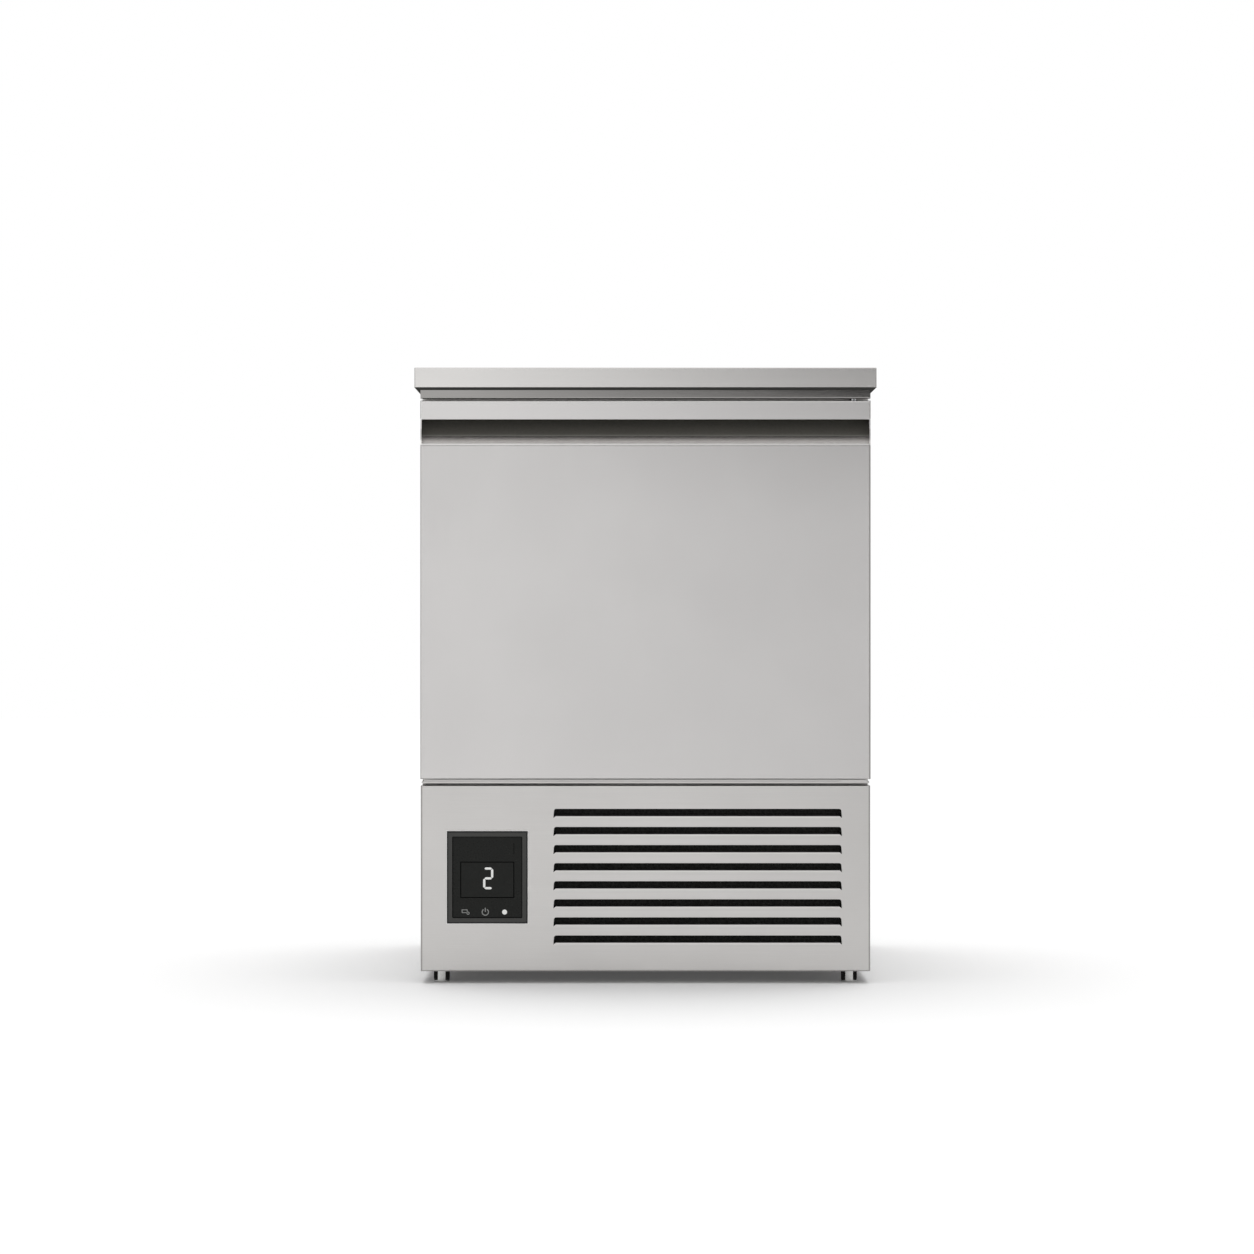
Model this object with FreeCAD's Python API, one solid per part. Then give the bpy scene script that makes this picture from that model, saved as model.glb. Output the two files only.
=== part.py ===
import FreeCAD, Part
import math
import os

from FreeCAD import Rotation, Vector

# Under-counter refrigerated cabinet of folded stainless steel: one hinged door above a louvred machine
# compartment. Sizes are in millimetres. The origin is on the floor under the middle of the worktop, +Z is up,
# the door faces -Y and +X is on the right of someone who faces it.

# Heights, from the floor up
foot_height = 16.0
panel_height = 241.0
sill_gap = 8.5
door_height = 492.0
door_top_gap = 2.5
header_shown = 14.0
lip_height = 26.0

# Plan of the cabinet
worktop_width = 600.0
worktop_depth = 640.0
side_overhang = 7.5
front_overhang = 8.0
rear_overhang = 8.0

# Lip of the worktop: its hem slopes in and down to the case
hem_drop = 2.8

# Sheet metal and the fit of one piece on the next
worktop_sheet = 1.5
case_sheet = 1.0
frame_sheet = 1.5
sill_sheet = 2.5
flange_width = 10.0
bend_radius = 2.0
body_clearance = 0.3
running_fit = 0.05

# Insulated box
side_wall = 45.0
back_wall = 50.0
opening_rise = 44.5
opening_drop = 42.5
liner_corner = 6.0
sill_clearance = 3.0
sill_leg = 35.0
sill_setback = 4.0
header_setback = 2.0

# Door
door_thickness = 45.0
gasket_space = 12.0
rail_height = 24.5
rail_depth = 12.0
scoop_height = 34.5
scoop_depth = 34.0
scoop_back = 8.0
scoop_pocket = 11.0
scoop_radius = 3.5
scoop_end = 1.6
grip_sheet = 1.2
rail_inset = 1.2
liner_plug = 6.0
plug_margin = 14.0
gasket_width = 16.0
gasket_margin = 4.5
dart_width = 3.0
dart_depth = 6.0

# Hinge, on the right
hinge_from_edge = 22.0
hinge_from_back = 22.0
pin_radius = 4.0
pin_shoulder_radius = 8.0
pin_shoulder = 1.2
top_pin_reach = 10.0
bottom_pin_reach = 26.0
bush_radius = 7.0
cartridge_radius = 9.0
cartridge_length = 62.0
cartridge_flange = 11.0
hinge_plate = 4.0
hinge_plate_width = 40.0

# Filter pad behind the louvres
filter_behind_face = 11.0
filter_thickness = 6.0
filter_margin = 2.0

# Lower front panel
panel_inset = 0.5
panel_top_return = 38.0
panel_bottom_return = 17.0
louvre_count = 8
louvre_from_edge = 36.7
louvre_width = 375.0
louvre_pitch = 23.5
louvre_height = 12.0
louvre_top_drop = 30.1
louvre_radius = 3.0
louvre_lean = 1.0
tongue_rise = 2.4
tongue_depth = 10.0
tongue_taper = 3.0
tongue_step = 1.0

# Control
control_from_edge = 86.5
control_drop = 119.0
bezel_width = 103.0
bezel_height = 118.0
bezel_rim = 6.0
bezel_proud = 3.0
bezel_neck = 3.0
bezel_neck_depth = 10.0
bezel_radius = 3.0
face_recess = 1.6
face_thickness = 3.0
window_width = 69.0
window_height = 46.0
window_drop = 3.2
window_depth = 1.0
housing_depth = 42.0
cutout_clearance = 0.2

# Feet
foot_radius = 10.5
foot_chamfer = 1.5
foot_side_inset = 26.5
foot_front_inset = 30.0
foot_rear_inset = 40.0
stud_radius = 5.0
stud_spare = 8.0
socket_radius = 10.0
socket_height = 14.0

# Base tray and rear panels
base_sheet = 1.5
base_lip = 25.0
base_front_gap = 1.0
grille_slots = 14
grille_slot_width = 6.0
grille_slot_height = 120.0
grille_slot_pitch = 16.0
screw_radius = 3.5
screw_head = 1.8
gland_radius = 9.0
gland_length = 6.0
gland_bore = 3.5
gland_side = 50.0
gland_height = 60.0

# Shelves
upright_width = 20.0
upright_depth = 5.0
upright_sheet = 1.2
upright_gap = 14.0
upright_slot_pitch = 40.0
upright_slot_height = 14.0
upright_slot_width = 6.0
upright_front = 55.0
upright_spacing = 290.0
clip_width = 12.0
clip_reach = 14.0
clip_height = 10.0
clip_sheet = 1.5
shelf_levels = (105.0, 215.0)
shelf_front_gap = 22.0
shelf_depth = 370.0
shelf_side_gap = 3.0
shelf_corner = 14.0
shelf_bar = 3.0
shelf_wire = 1.6
shelf_wires = 11

# Evaporator inside the back of the box
cover_half = 215.0
cover_height = 165.0
cover_depth = 112.0
cover_slots = 5
cover_slot_height = 5.0
cover_slot_pitch = 12.0
cover_slot_half = 150.0
cover_slot_rise = 14.0
evaporator_half = 190.0
evaporator_height = 120.0
evaporator_depth = 44.0
evaporator_drop = 18.0
evaporator_fan_radius = 40.0
evaporator_fan_drop = 58.0
evaporator_motor_radius = 20.0
evaporator_motor_length = 26.0
evaporator_hub_radius = 13.0
fin_pitch = 20.0
fin_gap = 12.0
fin_slot_depth = 14.0
probe_radius = 3.0
probe_length = 26.0

# Condensing unit on the base tray
compressor_radius = 74.0
compressor_height = 148.0
compressor_from_side = 124.0
compressor_from_back = 128.0
compressor_seam = 3.0
compressor_dome = 34.0
compressor_plate = 3.0
plate_half = 82.0
grommet_radius = 11.0
grommet_height = 12.0
grommet_inset = 13.0
condenser_left = -60.0
condenser_width = 250.0
condenser_height = 196.0
condenser_depth = 46.0
condenser_behind_face = 78.0
condenser_fan_radius = 84.0
fan_tip_gap = 3.0
shroud_depth = 34.0
shroud_sheet = 1.2
condenser_motor_radius = 26.0
condenser_motor_length = 46.0
condenser_hub_radius = 22.0
motor_shaft = 3.0
motor_gap = 8.0
strap_sheet = 2.0
strap_width = 20.0
strap_margin = 6.0
hub_length = 18.0
drier_radius = 11.0
drier_length = 96.0
drier_neck = 14.0
drier_from_condenser = 52.0
drier_height = 42.0
drier_front = 12.0
discharge_height = 82.0
discharge_clear = 28.0
suction_height = 100.0
coil_inlet_drop = 80.0
pipe_radius = 4.0
thin_pipe_radius = 3.0
pipe_bend = 20.0
tray_width = 130.0
tray_depth = 150.0
tray_height = 45.0
tray_wall = 2.0
tray_clear = 5.0
drain_radius = 8.0
drain_wall = 1.5
drain_from_side = 60.0
drain_from_back = 45.0

# Fan blades: chords and camber as shares of the fan's radius and of the chord, pitch in degrees
blade_count = 5
blade_sheet = 1.5
blade_root_chord = 0.42
blade_tip_chord = 0.66
blade_camber = 0.12
blade_pitch = 28.0

# Levels worked out from the heights
panel_top = foot_height + panel_height
door_bottom = panel_top + sill_gap
door_top = door_bottom + door_height
header_bottom = door_top + door_top_gap
lip_bottom = header_bottom + header_shown
worktop_top = lip_bottom + lip_height
case_top = worktop_top - worktop_sheet
sill_top = door_bottom - sill_clearance
deck_bottom = sill_top - case_sheet
opening_bottom = door_bottom + opening_rise
opening_top = door_top - opening_drop
base_bottom = foot_height + case_sheet
base_top = base_bottom + base_sheet

# Planes worked out from the plan
half_width = worktop_width / 2
case_half = half_width - side_overhang
opening_half = case_half - side_wall
face_y = front_overhang - worktop_depth / 2
case_back = worktop_depth / 2 - rear_overhang
door_back = face_y + door_thickness
case_front = door_back + gasket_space
frame_back = case_front + frame_sheet
liner_back = case_back - back_wall
hinge_x = case_half - hinge_from_edge
hinge_y = door_back - hinge_from_back
panel_half = case_half - panel_inset
louvre_left = panel_half - louvre_from_edge - louvre_width
control_x = control_from_edge - panel_half
back_inner = case_back - 2 * case_sheet
gland_x = gland_side - case_half
gland_z = base_top + gland_height

# Places of the evaporator set
cover_front = liner_back - cover_depth
cover_bottom = opening_top - cover_height
evaporator_top = opening_top - evaporator_drop
evaporator_fan_z = opening_top - evaporator_fan_drop
evaporator_fan_y = cover_front + case_sheet + hub_length / 2 + fan_tip_gap

# Places of the condensing unit
condenser_front = face_y + condenser_behind_face
condenser_back = condenser_front + condenser_depth
condenser_middle = condenser_front + condenser_depth / 2
condenser_right = condenser_left + condenser_width
condenser_top = base_top + condenser_height
shroud_back = condenser_back + shroud_depth
condenser_fan_x = condenser_left + condenser_width / 2
condenser_fan_z = base_top + condenser_height / 2
compressor_x = case_half - compressor_from_side
compressor_y = case_back - compressor_from_back
compressor_bottom = base_top + grommet_height + compressor_plate
pipe_rise_y = liner_back + back_wall / 2
coil_inlet_z = evaporator_top - coil_inlet_drop
drier_x = condenser_left - drier_from_condenser
drier_z = base_top + drier_height
drain_x = drain_from_side - opening_half
drain_y = liner_back - drain_from_back


def block(x, y, z):
    """Box between the (low, high) pairs of its three axes."""
    return Part.makeBox(x[1] - x[0], y[1] - y[0], z[1] - z[0], Vector(x[0], y[0], z[0]))


def both(half):
    """The pair from -half to +half."""
    return (-half, half)


def edges_along(shape, axis):
    """Straight edges of shape that run along axis."""
    return [e for e in shape.Edges if abs(abs(e.tangentAt(e.FirstParameter).dot(axis)) - 1) < 1e-6]


def upright_plate(x, y, z, radius):
    """Box whose four edges along Y are rounded."""
    body = block(x, y, z)
    return body.makeFillet(radius, edges_along(body, Vector(0, 1, 0)))


def cylinder(radius, start, end):
    """Round bar between two points."""
    start = Vector(*start)
    run = Vector(*end) - start
    return Part.makeCylinder(radius, run.Length, start, run)


def rounded(points, radius, closed=False):
    """Wire through points, with a tangent arc at each corner."""
    points = [Vector(*p) for p in points]
    count = len(points)
    corners = list(range(1, count)) + [0] if closed else range(1, count - 1)
    arcs = {}
    for i in corners:
        here = points[i]
        back = (points[i - 1] - here).normalize()
        ahead = (points[(i + 1) % count] - here).normalize()
        half_turn = back.getAngle(ahead) / 2
        reach = radius / math.tan(half_turn)
        middle = (back + ahead).normalize() * (radius / math.sin(half_turn) - radius)
        arcs[i] = (here + back * reach, here + middle, here + ahead * reach)
    edges = []
    start = arcs[0][2] if closed else points[0]
    for i in corners:
        first, middle, last = arcs[i]
        edges.append(Part.makeLine(start, first))
        edges.append(Part.Arc(first, middle, last).toShape())
        start = last
    if not closed:
        edges.append(Part.makeLine(start, points[-1]))
    return Part.Wire(edges)


def bend_points(points, radius, closed=False):
    """Points of a path whose corners are each bent in two flat steps."""
    path = []
    for edge in rounded(points, radius, closed).OrderedEdges:
        start, end = edge.valueAt(edge.FirstParameter), edge.valueAt(edge.LastParameter)
        if edge.Curve.TypeId == "Part::GeomLine":
            path += [start, end]
        else:
            path.append(edge.valueAt((edge.FirstParameter + edge.LastParameter) / 2))
    kept = []
    for point in path:
        if not kept or kept[-1].distanceToPoint(point) > 1e-6:
            kept.append(point)
    return kept


def skinned(rings, closed=False):
    """Solid with flat faces between rings of points, capped at its ends."""
    faces = []
    pairs = list(zip(rings, rings[1:] + rings[:1])) if closed else list(zip(rings, rings[1:]))
    for near, far in pairs:
        for i in range(len(near)):
            j = (i + 1) % len(near)
            corners = [near[i], near[j], far[j], far[i]]
            faces.append(Part.Face(Part.makePolygon(corners + corners[:1])))
    if not closed:
        for ring in (rings[0], rings[-1]):
            faces.append(Part.Face(Part.makePolygon(ring + ring[:1])))
    solid = Part.makeSolid(Part.makeShell(faces))
    if solid.Volume < 0:
        solid.reverse()
    return solid


def bar(points, radius, sides, bend=0.0, closed=False):
    """Rod or pipe along points, its round section drawn with flat sides, mitred at each turn."""
    path = bend_points(points, bend, closed) if bend else [Vector(*p) for p in points]
    if closed and path[0].distanceToPoint(path[-1]) < 1e-6:
        path = path[:-1]
    count = len(path)
    legs = [(path[(i + 1) % count] - path[i]).normalize() for i in range(count if closed else count - 1)]
    first = legs[0]
    across = first.cross(Vector(0, 0, 1))
    if across.Length < 0.5:
        across = first.cross(Vector(0, 1, 0))
    across.normalize()
    other = first.cross(across)
    outer = radius / math.cos(math.pi / sides)
    ring = []
    for i in range(sides):
        angle = 2 * math.pi * (i + 0.5) / sides
        ring.append(path[0] + across * (outer * math.cos(angle)) + other * (outer * math.sin(angle)))
    if closed:
        ring = [slid(q, first, path[0], legs[-1] + first) for q in ring]
    rings = [ring]
    for i in range(1, count):
        turn = legs[i - 1] + legs[i % len(legs)] if closed or i < count - 1 else legs[i - 1]
        ring = [slid(q, legs[i - 1], path[i], turn) for q in ring]
        rings.append(ring)
    return skinned(rings, closed)


def slid(point, along, through, normal):
    """Point moved along a direction to the plane through a point."""
    return point + along * ((through - point).dot(normal) / along.dot(normal))


def flat_sided(profile, centre, sides):
    """Round part drawn with flat sides, about the vertical through centre, from (radius, height) points."""
    rings = []
    for radius, height in profile:
        ring = []
        for i in range(sides):
            angle = 2 * math.pi * (i + 0.5) / sides
            arm = Vector(radius * math.cos(angle), radius * math.sin(angle), height)
            ring.append(Vector(*centre) + arm)
        rings.append(ring)
    return skinned(rings)


def facing_front(shape, at):
    """Shape built along +Z turned to point to -Y, with its origin put at a point."""
    turned_shape = shape.copy()
    turned_shape.rotate(Vector(), Vector(1, 0, 0), 90)
    turned_shape.translate(Vector(*at))
    return turned_shape


def mirrored(shape):
    """Copy of shape on the other side of the cabinet."""
    return shape.mirror(Vector(), Vector(1, 0, 0))


def save(name, shape):
    """Write one piece to its own file."""
    shape.exportStep(f"parts/{name}.step")


def rectangle(half, front, back, z):
    """Corners of a level rectangle."""
    return [Vector(-half, front, z), Vector(half, front, z), Vector(half, back, z), Vector(-half, back, z)]


def worktop():
    """Tray with a lip turned down on four sides and a hem that slopes in under it to the case."""
    edge = worktop_depth / 2
    body = block(both(half_width), both(edge), (lip_bottom, worktop_top))
    rim = edges_along(body, Vector(0, 0, 1))
    rim += [e for e in body.Edges if e.BoundBox.ZMin > worktop_top - 0.1]
    round_off = worktop_sheet / 2
    body = body.makeChamfer(round_off, rim)
    hem = skinned([
        rectangle(case_half, face_y, case_back, lip_bottom - hem_drop),
        rectangle(half_width - round_off, round_off - edge, edge - round_off, lip_bottom),
    ])
    inner = edge - worktop_sheet
    hollow = skinned([
        rectangle(case_half, face_y, case_back, lip_bottom - hem_drop + worktop_sheet),
        rectangle(half_width - worktop_sheet, -inner, inner, lip_bottom + worktop_sheet),
        rectangle(half_width - worktop_sheet, -inner, inner, case_top),
    ])
    mouth = block(both(case_half), (face_y, case_back), (lip_bottom - hem_drop, case_top))
    return body.fuse(hem).cut([hollow, mouth])


def side_panel():
    """Right side sheet, with flanges turned in at front, back, top and bottom."""
    height = (foot_height, case_top)
    length = (frame_back, case_back)
    body = block((case_half - flange_width, case_half), length, height)
    inner = case_half - case_sheet
    hollow = block(
        (case_half - flange_width, inner),
        (length[0] + case_sheet, length[1] - case_sheet),
        (height[0] + case_sheet, height[1] - case_sheet),
    )
    return body.cut(hollow)


def back_panel():
    """Sheet behind the insulation, inside the flanges of the side panels."""
    depth = (back_inner, back_inner + case_sheet)
    return block(both(case_half - case_sheet), depth, (deck_bottom, case_top - case_sheet))


def rear_grille():
    """Lower rear sheet with two rows of upright slots."""
    depth = (back_inner, back_inner + case_sheet)
    sheet = block(both(case_half - case_sheet), depth, (base_bottom, deck_bottom))
    middle = (base_top + deck_bottom) / 2
    first = -(grille_slots - 1) * grille_slot_pitch / 2
    slots = []
    for i in range(grille_slots):
        x = first + i * grille_slot_pitch
        wide = (x - grille_slot_width / 2, x + grille_slot_width / 2)
        slots.append(block(wide, depth, (middle - grille_slot_height / 2, middle + grille_slot_height / 2)))
    gland = bar([(gland_x, depth[0], gland_z), (gland_x, depth[1], gland_z)], gland_bore * 2, 12)
    return sheet.cut(slots + [gland])


def cable_gland():
    """Gland that the supply cable would leave by."""
    back = case_back - case_sheet
    inside = back - case_sheet - gland_length
    neck = bar([(gland_x, inside, gland_z), (gland_x, back + gland_length, gland_z)], gland_bore * 2, 12)
    dome = bar([(gland_x, back, gland_z), (gland_x, back + gland_length * 2 / 3, gland_z)], gland_radius, 6)
    nut = bar([(gland_x, inside, gland_z), (gland_x, back - case_sheet, gland_z)], gland_radius, 6)
    bore = cylinder(gland_bore, (gland_x, inside, gland_z), (gland_x, back + gland_length, gland_z))
    return neck.fuse([dome, nut]).removeSplitter().cut(bore)


def rear_screws():
    """Hexagon-head screws along both edges of the rear sheets."""
    back = case_back
    heads = []
    for side in (-1, 1):
        x = side * (case_half - flange_width / 2)
        low = (base_top + base_lip, deck_bottom - base_lip)
        high = (deck_bottom + base_lip, header_bottom - base_lip)
        for z in low + high:
            heads.append(bar([(x, back, z), (x, back + screw_head, z)], screw_radius, 6))
    return Part.makeCompound(heads)


def deck_sheet():
    """Sheet that closes the insulation above the machine compartment."""
    length = (frame_back + case_sheet, back_inner)
    sheet = block(both(case_half - case_sheet), length, (deck_bottom, sill_top))
    return sheet.cut([drain_rod(drain_radius), suction_pipe(), capillary_pipe()])


def front_frame():
    """Face frame that the door seals on."""
    low = base_top + base_lip
    frame = block(both(case_half), (case_front, frame_back), (low, case_top))
    height = (opening_bottom, opening_top)
    opening = upright_plate(both(opening_half), (case_front, frame_back), height, liner_corner)
    between_legs = block(both(case_half - flange_width), (case_front, frame_back), (low, sill_top - sill_leg))
    return frame.cut([opening, between_legs])


def liner_block(grow, front, back):
    """The box's inner space, grown on all sides."""
    return upright_plate(
        both(opening_half + grow),
        (front, back + grow),
        (opening_bottom - grow, opening_top + grow),
        liner_corner + grow,
    )


def inner_liner():
    """Pressed box with rounded corners, open at the front, with the drain hole in its floor."""
    shell = liner_block(case_sheet, frame_back, liner_back)
    shell = shell.cut(liner_block(0, frame_back, liner_back))
    return shell.cut([drain_rod(drain_radius), suction_pipe(), capillary_pipe()])


def insulation():
    """Foam boards between the liner and the outer sheets: two sides, top, floor and back."""
    foam = block(both(case_half - case_sheet), (frame_back, back_inner), (sill_top, case_top))
    foam = foam.cut([liner_block(case_sheet, frame_back, liner_back), side_panel(), mirrored(side_panel())])
    foam = foam.cut([drain_rod(drain_radius), suction_pipe(), capillary_pipe()])
    side = opening_half - liner_corner
    low = opening_bottom - case_sheet
    high = opening_top + case_sheet
    length = (frame_back, back_inner)
    boards = [
        block((-case_half, -side), length, (sill_top, case_top)),
        block((side, case_half), length, (sill_top, case_top)),
        block(both(side), length, (high, case_top)),
        block(both(side), length, (sill_top, low)),
        block(both(side), (liner_back + case_sheet, back_inner), (low, high)),
    ]
    return Part.makeCompound([solid for board in boards for solid in foam.common(board).Solids])


def header_rail():
    """Box-folded rail above the door, open at the back, with the hole of the top hinge pin."""
    front = face_y + header_setback
    body = block(both(case_half), (front, case_front), (header_bottom, case_top))
    lower = [e for e in edges_along(body, Vector(1, 0, 0)) if e.BoundBox.ZMax < header_bottom + 0.1]
    lower = [e for e in lower if e.BoundBox.YMax < front + 0.1]
    body = body.makeFillet(bend_radius, lower)
    hollow = block(
        both(case_half - frame_sheet),
        (front + frame_sheet, case_front),
        (header_bottom + frame_sheet, case_top - frame_sheet),
    )
    hole = hinge_bore(pin_radius, header_bottom - 1, case_top - frame_sheet)
    return body.cut([hollow, hole])


def top_hinge_plate():
    """Thick plate inside the header rail that holds the top pin."""
    low = header_bottom + frame_sheet
    half = hinge_plate_width / 2
    width = (hinge_x - half, case_half - frame_sheet)
    plate = block(width, (hinge_y - half / 2, hinge_y + half), (low, low + hinge_plate))
    return plate.cut(cylinder(pin_radius, (hinge_x, hinge_y, low), (hinge_x, hinge_y, low + hinge_plate)))


def top_hinge_pin():
    """Pin that hangs from the header rail into the door."""
    head_bottom = header_bottom + frame_sheet + hinge_plate
    shank = hinge_bore(pin_radius, door_top - top_pin_reach, head_bottom)
    ends = [(hinge_x, hinge_y, head_bottom), (hinge_x, hinge_y, head_bottom + pin_radius)]
    head = bar(ends, pin_shoulder_radius, 6)
    return shank.fuse(head)


def door_sill():
    """Strip under the door, folded down at the back, which holds the bottom hinge pin."""
    front = face_y + sill_setback
    low = sill_top - sill_leg
    body = block(both(panel_half - case_sheet), (front, case_front), (low, sill_top))
    clear = block(both(case_half), (front, case_front - sill_sheet), (low, sill_top - sill_sheet))
    hole = cylinder(pin_radius, (hinge_x, hinge_y, low), (hinge_x, hinge_y, sill_top))
    return body.cut([clear, hole])


def bottom_hinge_pin():
    """Pin riveted in the sill, with the shoulder that the door turns on."""
    shoulder_top = sill_top + pin_shoulder
    shank = hinge_bore(pin_radius, sill_top - sill_sheet, door_bottom + bottom_pin_reach)
    shoulder = bar([(hinge_x, hinge_y, sill_top), (hinge_x, hinge_y, shoulder_top)], pin_shoulder_radius, 6)
    return shank.fuse(shoulder)


def door_block(inset):
    """Outer form of the door, its rail narrower than its face, drawn in on all sides but the back."""
    rail_bottom = door_top - rail_height
    depth = (face_y + inset, door_back)
    leaf = block(both(case_half - inset), depth, (door_bottom + inset, rail_bottom - inset))
    rail = block(both(case_half - rail_inset - inset), depth, (rail_bottom - inset, door_top - inset))
    body = leaf.fuse(rail).removeSplitter()
    if inset:
        return body
    front = [e for e in body.Edges if e.BoundBox.YMax < face_y + 0.1]
    low_edge = [e for e in front if e.BoundBox.ZMax < door_bottom + 0.1]
    high_edge = [e for e in body.Edges if e.BoundBox.YMax < face_y + 0.1 and e.BoundBox.ZMin > door_top - 0.1]
    return body.makeFillet(bend_radius, low_edge + high_edge)


def scoop(grow, half):
    """Space of the finger scoop: a ramp rising inward from the door's face, and a pocket behind the rail."""
    roof = door_top - rail_height
    foot = roof - scoop_height
    pocket_top = roof + scoop_pocket
    back = face_y + scoop_depth
    out = face_y - scoop_depth
    ramp_top = pocket_top - scoop_back
    ramp_rise = ramp_top - foot
    outline = [
        (0, out, roof),
        (0, face_y + rail_depth, roof),
        (0, face_y + rail_depth, pocket_top),
        (0, back, pocket_top),
        (0, back, ramp_top),
        (0, out, foot - ramp_rise),
    ]
    wire = rounded(outline, scoop_radius, closed=True)
    if grow:
        wire = wire.makeOffset2D(grow)
    face = Part.Face(wire)
    face.translate(Vector(-half, 0, 0))
    return face.extrude(Vector(2 * half, 0, 0))


def door_hollow():
    """Space inside the door's skin."""
    return door_block(case_sheet).cut(scoop(case_sheet, case_half))


def hinge_block(half, low, high):
    """Square block round the hinge axis."""
    return block((hinge_x - half, hinge_x + half), (hinge_y - half, hinge_y + half), (low, high))


def hinge_bore(radius, low, high):
    """Upright bar on the hinge axis, for a pin or the hole of one."""
    return cylinder(radius, (hinge_x, hinge_y, low), (hinge_x, hinge_y, high))


def door_skin():
    """Folded sheet: face, finger scoop, rail and returns, with end plates that close the scoop."""
    skin = door_block(0).cut([scoop(0, case_half - scoop_end), door_hollow()])
    bores = [
        hinge_block(bush_radius, door_top - 2 * case_sheet, door_top),
        hinge_block(cartridge_radius, door_bottom, door_bottom + 2 * case_sheet),
    ]
    return skin.cut(bores)


def door_grip():
    """Dark moulding that lines the scoop behind the rail."""
    half = case_half - scoop_end
    length = (face_y + rail_depth, face_y + scoop_depth)
    behind = block(both(half), length, (door_top - rail_height - scoop_height, door_top))
    return scoop(0, half).cut(scoop(-grip_sheet, case_half)).common(behind)


def filter_pad():
    """Dust filter that stands in the base tray behind the louvres."""
    y = (face_y + filter_behind_face, face_y + filter_behind_face + filter_thickness)
    x = (louvre_left - filter_margin, louvre_left + louvre_width + filter_margin)
    return block(x, y, (base_top, panel_top - louvre_top_drop + filter_margin))


def gasket_ring(inner, outer, depth):
    """Rectangular ring round the opening, its edges measured outward from the opening."""
    ring = block(both(opening_half + outer), depth, (opening_bottom - outer, opening_top + outer))
    hole = block(both(opening_half + inner), depth, (opening_bottom - inner, opening_top + inner))
    return ring.cut(hole)


def gasket_dart(grow=0.0):
    """Rib of the gasket that is pushed into the door liner."""
    middle = gasket_margin + gasket_width / 2
    half = dart_width / 2 + grow
    return gasket_ring(middle - half, middle + half, (door_back - dart_depth - grow, door_back))


def door_gasket():
    """Magnetic gasket with one bellows fold round its outside."""
    seal = case_front - body_clearance
    outer = gasket_margin + gasket_width
    body = gasket_ring(gasket_margin, outer, (door_back, seal))
    middle = (door_back + seal) / 2
    fold = gasket_ring(outer - dart_width, outer + 1, (middle - 1, middle + 1))
    return body.cut(fold).fuse(gasket_dart())


def plug_block(inset, depth):
    """Raised middle of the door liner."""
    half = opening_half - plug_margin - inset
    height = (opening_bottom + plug_margin + inset, opening_top - plug_margin - inset)
    return upright_plate(both(half), depth, height, liner_corner - inset)


def door_liner():
    """Inner pan of the door, with a raised middle and the channel of the gasket."""
    sheet = (door_back - case_sheet, door_back)
    pan = door_hollow().common(block(both(case_half), sheet, (door_bottom, door_top)))
    pan = pan.fuse(plug_block(0, (sheet[0], door_back + liner_plug)))
    pan = pan.cut(plug_block(case_sheet, (sheet[0], door_back + liner_plug - case_sheet)))
    return pan.removeSplitter().fuse(gasket_dart(case_sheet)).cut(gasket_dart())


def door_insulation():
    """Foam that fills the door between skin and liner."""
    length = (face_y, door_back - case_sheet)
    foam = door_hollow().common(block(both(case_half), length, (door_bottom, door_top)))
    foam = foam.fuse(plug_block(case_sheet, (door_back - case_sheet, door_back + liner_plug - case_sheet)))
    return foam.removeSplitter().cut(
        [
            gasket_dart(case_sheet),
            hinge_block(bush_radius, door_top - case_sheet - top_pin_reach, door_top),
            hinge_block(cartridge_radius, door_bottom, door_bottom + cartridge_length),
        ]
    )


def top_bush():
    """Nylon bush in the top of the door."""
    low = door_top - top_pin_reach - case_sheet
    bush = hinge_block(bush_radius, low, door_top)
    return bush.cut(hinge_bore(pin_radius + running_fit, low + case_sheet / 2, door_top))


def closer_cartridge():
    """Self-closing hinge cartridge in the bottom of the door, with the flange that carries the door."""
    flange_bottom = sill_top + pin_shoulder + body_clearance
    body = hinge_block(cartridge_radius, flange_bottom, door_bottom + cartridge_length)
    flange = hinge_block(cartridge_flange, flange_bottom, door_bottom)
    bore_top = door_bottom + bottom_pin_reach + body_clearance
    bore = hinge_bore(pin_radius + running_fit, flange_bottom, bore_top)
    return body.fuse(flange).removeSplitter().cut(bore)


def louvre_tops():
    """Heights of the upper edges of the louvre slots."""
    return [panel_top - louvre_top_drop - i * louvre_pitch for i in range(louvre_count)]


def louvre_slot(top):
    """Opening of one louvre, a little wider at its foot and rounded at its two upper corners."""
    left, right = louvre_left, louvre_left + louvre_width
    low = top - louvre_height
    outline = [(left, low), (right, low), (right - louvre_lean, top), (left + louvre_lean, top)]
    near = [Vector(x, face_y - 1, z) for x, z in outline]
    far = [Vector(x, face_y + case_sheet + 1, z) for x, z in outline]
    slot = skinned([near, far])
    upper = [e for e in edges_along(slot, Vector(0, 1, 0)) if e.BoundBox.ZMin > top - 0.1]
    return slot.makeFillet(louvre_radius, upper)


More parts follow.
